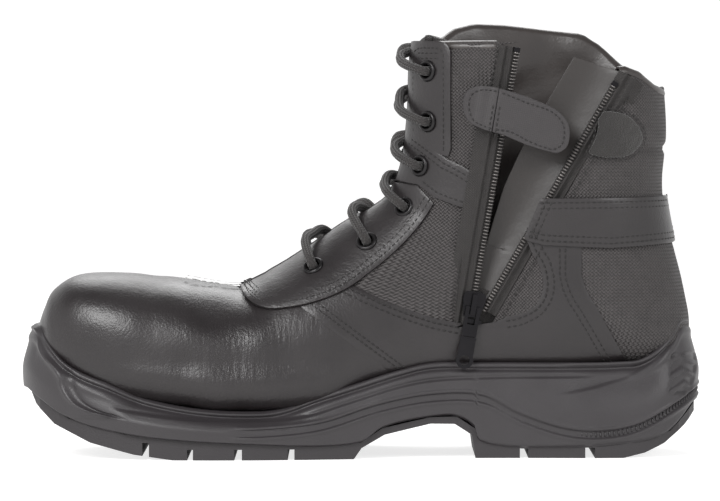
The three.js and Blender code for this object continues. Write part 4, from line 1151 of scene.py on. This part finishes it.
def collar_t(angle, line):
    """The t at which the skin reaches the collar line, at each angle."""
    line = np.array(line, float)
    low, high = np.full_like(angle, 11.0), np.full_like(angle, LAST_T)
    for _ in range(40):
        middle = (low + high) / 2
        p = skin_point(middle, angle)
        below = p[..., 2] < np.interp(p[..., 0], line[:, 0], line[:, 1]) - ROLL
        low, high = np.where(below, middle, low), np.where(below, high, middle)
    return (low + high) / 2


def lining(name, first, last, line, side, folds=1.0):
    """first and last give the angle of the two upright edges as functions of t."""
    columns = max(8, int(2.2 / COLUMN_STEP))
    mix = np.linspace(0, 1, columns)
    top_angle = first(16.0) * (1 - mix) + last(16.0) * mix
    top_t = collar_t(top_angle, line)
    rows = []
    for turn in np.radians(np.linspace(-10, 170, 10)):
        p = skin(top_t, side * -top_angle, ROLL_DEPTH + ROLL * math.cos(turn))
        rows.append(p + np.array([0, 0, ROLL * math.sin(turn)]))
    foot_t = 8.6 + (11.4 - 8.6) * smooth_step(top_angle / math.pi)
    for s in np.linspace(0.04, 1, 44):
        t = top_t + (foot_t - top_t) * s
        angle = first(t) * (1 - mix) + last(t) * mix
        rows.append(skin(t, side * -angle, ROLL_DEPTH - ROLL - 0.6 * min(1, s * 6)))
    points = np.array(rows)
    inward = np.array([60, 0, 0]) - points * [1, 1, 0]
    spots = points.reshape(-1, 3)
    depth = (0.9 * ripple(spots, 8.0, 2.0) + 0.5 * ripple(spots, 4.0, 5.0)).reshape(points.shape[:2])
    settle = np.minimum(1, 0.25 + np.arange(len(points)) / 18)[:, None]
    points = points + unit(inward) * (depth * settle * folds)[..., None]
    rows_n, columns_n = points.shape[:2]
    flat = points.reshape(-1, 3)
    faces = np.array(grid_faces(rows_n, columns_n))
    a, b, d = (flat[faces[:, k]] for k in (0, 1, 3))
    middle = np.array([60, 0, 100])
    lower = faces[:, 0] // columns_n > 12
    if np.einsum("ij,ij->i", np.cross(b - a, d - a), a - middle)[lower].sum() > 0:
        faces = faces[:, ::-1]
    return thicken(make_mesh(name, flat, faces, [LINING_LEATHER], unrolled(flat)), 1.2, 0.3)


front_line = edge_angle(-ZIP_EDGE - 1.5, False)
rear_line = edge_angle(ZIP_EDGE + 5.5, True)
throat_line = lambda t: throat_angle(t) + 0.05
back_line = lambda t: np.full_like(np.asarray(t, float), math.pi)
collar_front = lining("collar_lining_front", throat_line, front_line, COLLAR_MEDIAL, -1)
collar_far = lining("collar_lining_lateral", throat_line, back_line, COLLAR_LATERAL, 1, folds=1.3)
collar_rear = lining("collar_lining_rear", rear_line, back_line, COLLAR_MEDIAL, -1)
on_root(collar_front, ["lining"])
on_root(collar_far, ["lining"])
follow_zip(collar_rear, ["collar_padding"])
print("lining pieces", 3)

# %% [markdown]
# Zip teeth are small metal blocks, clamped one by one on the tape's cord. Each row is a straight line
# in the zip's frame; Geometry Nodes set a block every pitch, its long side across the row and its
# flat side out.

# %% Zip teeth
TOOTH_PITCH = 1.5
TOOTH_LIFT = 0.2  # over the zip plane
TAPE_FOOT_FRONT, TAPE_FOOT_REAR = -4.0, 5.0  # where each tape starts along its row
TAPE_TOP_FRONT, TAPE_TOP_REAR = 2.5, 8.0  # how far each tape runs past the chain
BACKING_DEPTH, BACKING_BOW = 1.9, 0.004


def teeth_tree():
    tree, given, out = new_tree("clamped_teeth", {
        "Pitch": ("NodeSocketFloat", 0.0015), "Width": ("NodeSocketFloat", 0.0030),
        "Height": ("NodeSocketFloat", 0.0009), "Depth": ("NodeSocketFloat", 0.0027),
        "Out": ("NodeSocketVector", None), "Material": ("NodeSocketMaterial", None)})
    walk = node(tree, "GeometryNodeCurveToPoints",
                {"Curve": given.outputs["Geometry"], "Length": given.outputs["Pitch"]}, mode="LENGTH")
    size = node(tree, "ShaderNodeCombineXYZ", {0: given.outputs["Width"], 1: given.outputs["Height"],
                                               2: given.outputs["Depth"]})
    ball = node(tree, "GeometryNodeMeshUVSphere", {"Segments": 8, "Rings": 4, "Radius": 0.56})
    tooth = node(tree, "GeometryNodeTransform", {"Geometry": ball.outputs[0], "Scale": size.outputs[0]})
    turn = node(tree, "FunctionNodeAxesToRotation", {"Primary Axis": given.outputs["Out"],
                                                     "Secondary Axis": walk.outputs["Tangent"]},
                primary_axis="Z", secondary_axis="Y")
    placed = node(tree, "GeometryNodeInstanceOnPoints",
                  {"Points": walk.outputs[0], "Instance": tooth.outputs[0],
                   "Rotation": turn.outputs[0]})
    return finish_tree(tree, given, out, placed.outputs[0])


TEETH = teeth_tree()
for word, rear, body in (("front", False, "root"), ("rear", True, "zip_flap")):
    first = CHAIN_START + (TOOTH_PITCH / 2 if rear else 0)
    row = zip_point(0.0, np.array([first, CHAIN_END]), TOOTH_LIFT, rear)
    teeth = grow(f"zip_teeth_{word}", lines_object([row]), TEETH,
                 {"Out": tuple(OUT), "Material": TOOTH_METAL})
    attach(teeth, body)
    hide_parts(f"zip_chain_{word}")
    way = 1 if rear else -1
    across = np.array([-1.2, 0.6, 1.5, 1.9, 2.4, 3.0, 3.8, 4.6, 5.2, 5.8, 6.4, 7.4, 9.0, 12.0])
    height = np.array([0.1, 0.1, 0.3, 0.9, 1.1, 0.6, -0.2, -0.2, 0.7, 1.0, 0.5, -0.6, -1.6, -2.4])
    along = np.linspace(TAPE_FOOT_REAR if rear else TAPE_FOOT_FRONT,
                        CHAIN_END + (TAPE_TOP_REAR if rear else TAPE_TOP_FRONT), 60)
    grid = zip_point(way * across[None, :], along[:, None], height[None, :], rear)
    tape = outward_grid(f"zip_tape_woven_{word}", grid, TAPE_WEAVE, 0.7, 0.2)
    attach(tape, body)
    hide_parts(f"zip_tape_{word}")
    data = frame["nodes"][f"zip_top_stop_{word}"].data
    data.materials.clear()
    data.materials.append(BLACK_METAL)
foot_points = np.array([zip_point(x, y, -BACKING_DEPTH - BACKING_BOW * x * x) for x, y in
                        ((-9, -7), (-4, -8), (3, -8), (10, -6), (15, -1), (16, 6), (13, 12), (4, 14),
                         (-4, 13), (-9, 8))])
foot_ring = np.array([(1 - s) * foot_points.mean(0) + s * foot_points for s in (0.02, 0.35, 0.7, 1.0)])
foot_ring = np.concatenate([foot_ring, foot_ring[:, :1]], axis=1)
foot = outward_grid("zip_foot_backing", foot_ring, TAPE_WEAVE, 0.8, 0.2)
on_root(foot, ["zip_tape_front"])
print("teeth a row", int((CHAIN_END - CHAIN_START) / TOOTH_PITCH))

# %% [markdown]
# Behind the open zip a bellows of thin leather keeps water out. It hangs from the rear row, ends in a
# free folded edge in the upper half, and is joined to the front row only low down, so that a dark
# wedge stays open between them.

# %% Gusset
FOLD = np.array([[56, 96], [64.5, 123.7], [73, 142], [85.5, 164.5], [96.6, 182.8]])
FOLD_START = 36.0  # along the rear row, where the free edge leaves the front row
GUSSET_TOP = 127.0
GUSSET_DEPTH = 6.0  # under the zip plane
GUSSET_BOW = 1.8
fold_flat = np.array([from_view(x, z, -GUSSET_DEPTH) for x, z in FOLD])
fold_length = np.concatenate([[0], np.cumsum(np.linalg.norm(np.diff(fold_flat, axis=0), axis=1))])
gusset_rows = []
for y in np.linspace(3.0, GUSSET_TOP, 64):
    share = max(0.0, (y - FOLD_START) / (GUSSET_TOP - FOLD_START)) * fold_length[-1]
    free = np.array([np.interp(share, fold_length, fold_flat[:, k]) for k in (0, 1)])
    held = np.array([0.5, min(y, FOLD_START)])
    near = held if y < FOLD_START else free
    start = zip_point(near[0], near[1], -6.0 if y > FOLD_START else -2.0 - 4.0 * y / FOLD_START)
    end = zip_point(1.2 - 2.0 * smooth_step((y - 118) / 9), y + 3.0 * smooth_step((y - 110) / 17), -1.0, True)
    mix = np.linspace(0, 1, 18)[:, None]
    bow = -GUSSET_BOW * np.sin(mix * math.pi) * min(1.0, y / 40)
    gusset_rows.append(start * (1 - mix) + end * mix + OUT * bow)
gusset_grid = np.array(gusset_rows)
gusset_grid += OUT * (0.5 * ripple(gusset_grid.reshape(-1, 3), 14.0,
                                   4.0).reshape(gusset_grid.shape[:2]))[..., None]
gusset = outward_grid("zip_gusset_leather", gusset_grid, GUSSET_LEATHER, 1.2, 0.35)
row_line = zip_point(0.0, 60.0, 0.0, True)
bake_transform(gusset)
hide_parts("zip_gusset")
print("gusset free edge in mm", round(float(fold_length[-1])))

# %% [markdown]
# The closure tab is a coated strap that stands over the zip: sewn down in front, stitched across as a
# hinge, and free behind, where its hooks find the loop patch. Both halves come from one outline, cut
# at the stitch line.

# %% Closure tab
TAB_TOP = 8.4  # outer face over the zip plane
TAB_THICK = 2.4
TAB_SEAM = -6.0
TAB_DROP = 5.2  # how far the sewn half bends down to the panel
TAB_CROWN = 0.35
TAB_STITCH_INSET = 2.6
TAB_OUTLINE = [[46.3, 159.4], [47.4, 166.4], [51.2, 169.1], [57.2, 169.6], [68.8, 166.8], [81.6, 162.0],
               [89.2, 158.0],
               [93.4, 152.6], [94.1, 146.9], [92.6, 141.8], [88.6, 139.3], [84.6, 139.9], [73.9, 143.2],
               [63.9, 147.4],
               [54, 150.4], [48.6, 153.6]]


def cut_at(loop, x, keep_front):
    """The part of a loop on one side of an upright line."""
    out = []
    for p, q in zip(loop, np.roll(loop, -1, axis=0)):
        p_in, q_in = (p[0] < x) == keep_front, (q[0] < x) == keep_front
        if p_in:
            out.append(p)
        if p_in != q_in:
            out.append(p + (q - p) * (x - p[0]) / (q[0] - p[0]))
    return np.array(out)


def zip_plate(name, loop, height, thickness, finish, edge=0.5, step=2.0):
    """A plate over the zip plane; height is a function of x and y."""
    flat, faces = net(loop, [], step)
    points = zip_point(flat[:, 0], flat[:, 1], height(flat[:, 0], flat[:, 1]))
    a, b, c = (points[faces[:, k]] for k in range(3))
    turned = np.cross(b - a, c - a) @ OUT < 0
    faces = np.where(turned[:, None], faces[:, ::-1], faces)
    return thicken(make_mesh(name, points, faces, [finish], flat * MM), thickness, edge, 3)


corners = np.array([from_view(x, z, TAB_TOP) for x, z in TAB_OUTLINE])
tab_loop = centripetal(np.vstack([corners[-1:], corners, corners[:2]]), 8)
tab_loop = tab_loop[8:-8 - 1]


def base_height(x, y):
    return TAB_TOP - TAB_DROP * smooth_step((TAB_SEAM - 1.0 - x) / 8.0)


def flap_height(x, y):
    return TAB_TOP + TAB_CROWN * np.sin((x - TAB_SEAM) / 34 * math.pi) + 0 * y


GAP = 0.15
base = zip_plate("closure_tab_base_sewn", thin_out(cut_at(tab_loop, TAB_SEAM, True), 0.5), base_height,
                 TAB_THICK,
                 TAB_WEAVE)
on_root(base, ["closure_tab_base"])
flap = zip_plate("closure_tab_flap_free", thin_out(cut_at(tab_loop, TAB_SEAM + GAP, False), 0.5), flap_height,
                 TAB_THICK, TAB_WEAVE)
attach(flap, "closure_tab")
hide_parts("closure_tab_flap")
middle = tab_loop.mean(0)
for word, front, height, body in (("base", True, base_height, "root"),
                                  ("flap", False, flap_height, "closure_tab")):
    from_middle = np.linalg.norm(tab_loop - middle, axis=1)
    inner = middle + (tab_loop - middle) * (1 - TAB_STITCH_INSET / from_middle)[:, None]
    part = inner[(inner[:, 0] < TAB_SEAM - 0.6) if front else (inner[:, 0] > TAB_SEAM + 2.4)]
    jump = int(np.argmax(np.linalg.norm(np.diff(np.vstack([part, part[:1]]), axis=0), axis=1)))
    part = np.roll(part, -jump - 1, axis=0)
    hinge = np.column_stack([np.full(12, TAB_SEAM + (-1.4 if front else 1.8)), np.linspace(84, 96.5, 12)])
    rows = [zip_point(p[:, 0], p[:, 1], height(p[:, 0], p[:, 1]) + 0.12) for p in (part, hinge)]
    thread = grow(f"closure_tab_thread_{word}", lines_object(rows), SEWN,
                  {"Material": THREAD, "Pitch": 0.0023,
                                                                          "Length": 0.0016, "Thread": 0.0006})
    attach(thread, body)
print("closure tab pieces", 2)

# %% [markdown]
# The sole is moulded in one piece round the lasted upper: a bumper over the toe, a wall with long
# grooves and a fine ribbed band that follows the arch, and a high rand behind the heel. It is made as
# a ring of wall profiles. Each profile starts on the sole's plan, leans in to the upper, which a ray
# finds, and every groove is a line in the side view that pushes the wall in.

# %% Sole lines
SOLE_PLAN = np.array([
    [-155, -6], [-150, -27], [-131, -44], [-102, -53.5], [-62, -56], [-30, -53], [0, -47.5], [40, -40.8],
    [80, -40.4], [114, -41.3], [140, -34], [152, -18], [155, 0], [152, 18], [140, 34], [114, 42], [80, 43],
    [40, 45], [0, 49.5], [-40, 55.2], [-72, 55.2], [-102, 50], [-130, 37], [-149, 16]])
LUG_TOP = np.array([[-153, 30], [-134, 18], [-108, 11.5], [-54, 7.2], [-1, 7.4], [9, 14], [31, 18.8],
                    [43, 19],
                    [51, 14], [53.5, 7.2], [126, 7.2], [141, 12], [153, 24]])
SOLE_TOP = np.array([[-152, 60], [-149, 57], *FEATHER[1:-1], [150.6, 62.6], [155, 62.6]])
LONG_GROOVE = np.array([[-116, 24.4], [-110.5, 22.7], [-90, 19.4], [-57, 17.6], [-28, 19], [-5.8, 25.5],
                        [16.5, 32.4],
                        [31.3, 35.2], [60, 36.4], [100, 36.6]])
BAND = np.array([[-60, 12.3], [-45.6, 12.4], [-19.2, 15.2], [7.6, 23.4], [31.3, 27.7], [54.4, 27.2],
                 [72.5, 18.4],
                 [93.4, 11.8], [110, 10.9], [126.3, 14], [147, 25.4], [156, 31]])
TOE_RIDGE = np.array([[12, -96], [17, -106], [20.4, -115.8], [22, -122.3], [26, -129.5], [32, -133.7],
                      [39.6, -136], [47.3, -143.9], [58, -150]])  # z, x
HEEL_MARK = (147.5, 38.0, 5.5, 9.5)  # centre x and z, half width and half height of the ribbed recess
WALL_ROWS = 90


def on_line(line, x):
    return np.interp(x, line[:, 0], line[:, 1])


def dip(distance, width):
    return np.exp(-(distance / width) ** 2)


TOE_RIDGE, BAND, LONG_GROOVE, SOLE_TOP, LUG_TOP = (
    centripetal(line, 8) for line in (TOE_RIDGE, BAND, LONG_GROOVE, SOLE_TOP, LUG_TOP))
plan = centripetal(np.vstack([SOLE_PLAN[-2:], SOLE_PLAN, SOLE_PLAN[:3]]), 24)
plan = plan[2 * 24:(2 + len(SOLE_PLAN)) * 24]
around = np.concatenate([[0], np.cumsum(np.linalg.norm(np.diff(np.vstack([plan, plan[:1]]), axis=0),
                                                       axis=1))])
even = np.linspace(0, around[-1], 601)[:-1]
closed = np.vstack([plan, plan[:1]])
plan = np.column_stack([np.interp(even, around, closed[:, k]) for k in (0, 1)])
tangent = unit(np.roll(plan, -1, axis=0) - np.roll(plan, 1, axis=0))
inward = np.column_stack([-tangent[:, 1], tangent[:, 0]])
inward *= np.sign(np.einsum("ij,ij->i", inward, -plan))[:, None]

grid_t, grid_a = np.meshgrid(np.linspace(0, LAST_T, 120), np.linspace(0, 2 * math.pi, 121), indexing="ij")
skin_net = skin_point(grid_t, grid_a).reshape(-1, 3)
skin_tree = BVHTree.FromPolygons([Vector(p) for p in skin_net], grid_faces(120, 121))
TOP_DROP = 2.2  # the most that the cup's top line sits under the CAD's, along the forefoot
top = on_line(SOLE_TOP, plan[:, 0])
top -= TOP_DROP * smooth_step((plan[:, 0] + 120) / 20) * smooth_step((-15 - plan[:, 0]) / 30)
low = on_line(LUG_TOP, plan[:, 0])
REACH = 20  # how far outside the plan the ray starts
ABOVE_FEATHER = 5.0  # the height over the sole's top at which the ray meets the upper
LIP_INSET, TOE_INSET = 7.0, 3.0  # the most that the top edge leans in
depth = []
for p, n, z in zip(plan, inward, top):
    hit = skin_tree.ray_cast(Vector((p[0] - n[0] * REACH, p[1] - n[1] * REACH, z + ABOVE_FEATHER)),
                             Vector((n[0], n[1], 0)), 60)
    depth.append(hit[3] - REACH if hit[0] is not None else 4.5)
depth = np.convolve(np.concatenate([depth[-3:], depth, depth[:3]]), np.ones(7) / 7, "valid")
LIP = 1.2  # how far the top edge of the sole stands off the upper
lip = np.clip(depth - LIP, -4.0, LIP_INSET)
lip = np.minimum(lip, LIP_INSET - (LIP_INSET - TOE_INSET) * smooth_step((-134 - plan[:, 0]) / 10))
print("sole samples", len(plan), "lip inset", round(float(lip.min()), 1), "to", round(float(lip.max()), 1),
      "mm")

# %% Midsole mesh
def wall_relief(x, z, ztop):
    """How far the moulding stands out of the plain wall, in millimetres."""
    out = (-(1.3 - 0.9 * smooth_step((-136 - x) / 8)) * dip(z - (ztop - 3.0), 0.9)
           + 0.5 * dip(z - (ztop - 6.0), 1.6))
    fade = smooth_step((x + 115) / 7) * smooth_step((112 - x) / 20)
    long_way = z - on_line(LONG_GROOVE, x)
    out += (0.9 * smooth_step(0.5 - long_way / 1.6) - 0.5 * dip(long_way - 0.9, 0.8)) * fade
    wing = z - np.interp(x, [88, 105, 122, 136], [28.6, 32.0, 36.6, 44])
    out += -0.9 * smooth_step(0.5 + wing / 1.8) * smooth_step((x - 86) / 14) * smooth_step((140 - x) / 14)
    band = on_line(BAND, x)
    on_band = smooth_step((x + 62) / 12)
    out += on_band * (0.55 * dip(np.abs(z - band) - 2.6,
                                 0.8) - 0.8 * smooth_step((1.9 - np.abs(z - band)) / 0.6))
    ridge = np.interp(z, TOE_RIDGE[:, 0], TOE_RIDGE[:, 1])
    before = ridge - x
    step = 1.2 * smooth_step(before / 2.0) + 0.8 * dip(before - 1.6, 1.6) - 0.8 * dip(before + 1.8, 1.6)
    out += step * smooth_step((-108 - ridge) / 8)
    out += 0.8 * dip(z - (5.4 + 0.55 * ztop), 9.0)
    cx, cz, half_w, half_h = HEEL_MARK
    edge = np.maximum(np.abs(x - cx - (z - cz) * 0.25) / half_w, np.abs(z - cz) / half_h)
    mark = smooth_step((1.0 - edge) / 0.12)
    chevrons = 0.8 * smooth_step(np.sin((z - cz + np.abs(x - cx) * 0.6) * 2 * math.pi / 6.2) * 1.5)
    return out + mark * (chevrons - 1.2)


share = np.linspace(0, 1, WALL_ROWS)
wall = []
for s in share:
    z = low + (top - 1.0 - low) * s
    lean = lip * smooth_step((s - 0.35) / 0.65)
    tuck = 1.4 * (1 - smooth_step(s / 0.05))
    relief = wall_relief(plan[:, 0], z, top) * smooth_step(s / 0.06) * smooth_step((1.02 - s) / 0.04)
    wall.append((lean + tuck - relief, z))
wall.append((lip + 0.3, top - 0.4))
wall.append((lip + 1.0, top))
wall.append((lip + 1.9, top + 0.05))
wall.append((lip + 3.0, top - 0.4))
wall.append((lip + 7.0, top - 3.0))
wall.append((np.maximum(9.0, lip + 4), np.minimum(low + 5.0, top - 6)))
wall.append((np.full_like(lip, 8.0), low + 0.4))
wall.append((np.full_like(lip, 2.4), low))
rings = np.array([np.column_stack([plan + inward * inset[:, None], z]) for inset, z in wall])
rows_n, ring_n = rings.shape[:2]
faces = [(i * ring_n + j, i * ring_n + (j + 1) % ring_n, ((i + 1) % rows_n) * ring_n + (j + 1) % ring_n,
          ((i + 1) % rows_n) * ring_n + j) for i in range(rows_n) for j in range(ring_n)]
flat = rings.reshape(-1, 3)
first = np.array(faces[10 * ring_n])
normal = np.cross(flat[first[1]] - flat[first[0]], flat[first[3]] - flat[first[0]])
if np.dot(normal[:2], -inward[0]) < 0:
    faces = [f[::-1] for f in faces]
midsole = make_mesh("midsole_moulded", flat, faces, [MIDSOLE_PU], unrolled(flat))
on_root(midsole, ["midsole_cup"])
print("midsole faces", len(faces))

# %% Ribbed band
band_z = on_line(BAND, plan[:, 0])
rise = np.clip((band_z - low) / (top - 1.0 - low), 0, 1)
ribbed = np.where(plan[:, 0] > -58)[0]
start = int(np.argmax(np.diff(ribbed))) + 1 if np.diff(ribbed).max() > 1 else 0
ribbed = np.roll(ribbed, -start)
bulge = 0.8 * dip(band_z - (5.4 + 0.55 * top), 9.0)
seat = lip * smooth_step((rise - 0.35) / 0.65) + 0.75 - bulge
rib_line = np.column_stack([plan + inward * seat[:, None], band_z])[ribbed]
ribs = grow("sole_band_ribs", lines_object([rib_line]), TEETH, {
    "Pitch": 0.0021, "Width": 0.0016, "Height": 0.0010, "Depth": 0.0022, "Out": (0.0, 0.0, 1.0),
    "Material": MIDSOLE_PU})
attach(ribs, "root")
print("band length in mm", round(float(np.linalg.norm(np.diff(rib_line, axis=0), axis=1).sum())))

# %% [markdown]
# The visible model stands a little proud of the CAD model, as fabric does; the difference of the two boxes is
# printed.

# %% Sizes
visual_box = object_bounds()
grown = [[round((v - c) / MM, 1) for v, c in zip(a, b)] for a, b in zip(visual_box, cad_box)]
print("visual box against CAD box, mm", grown)
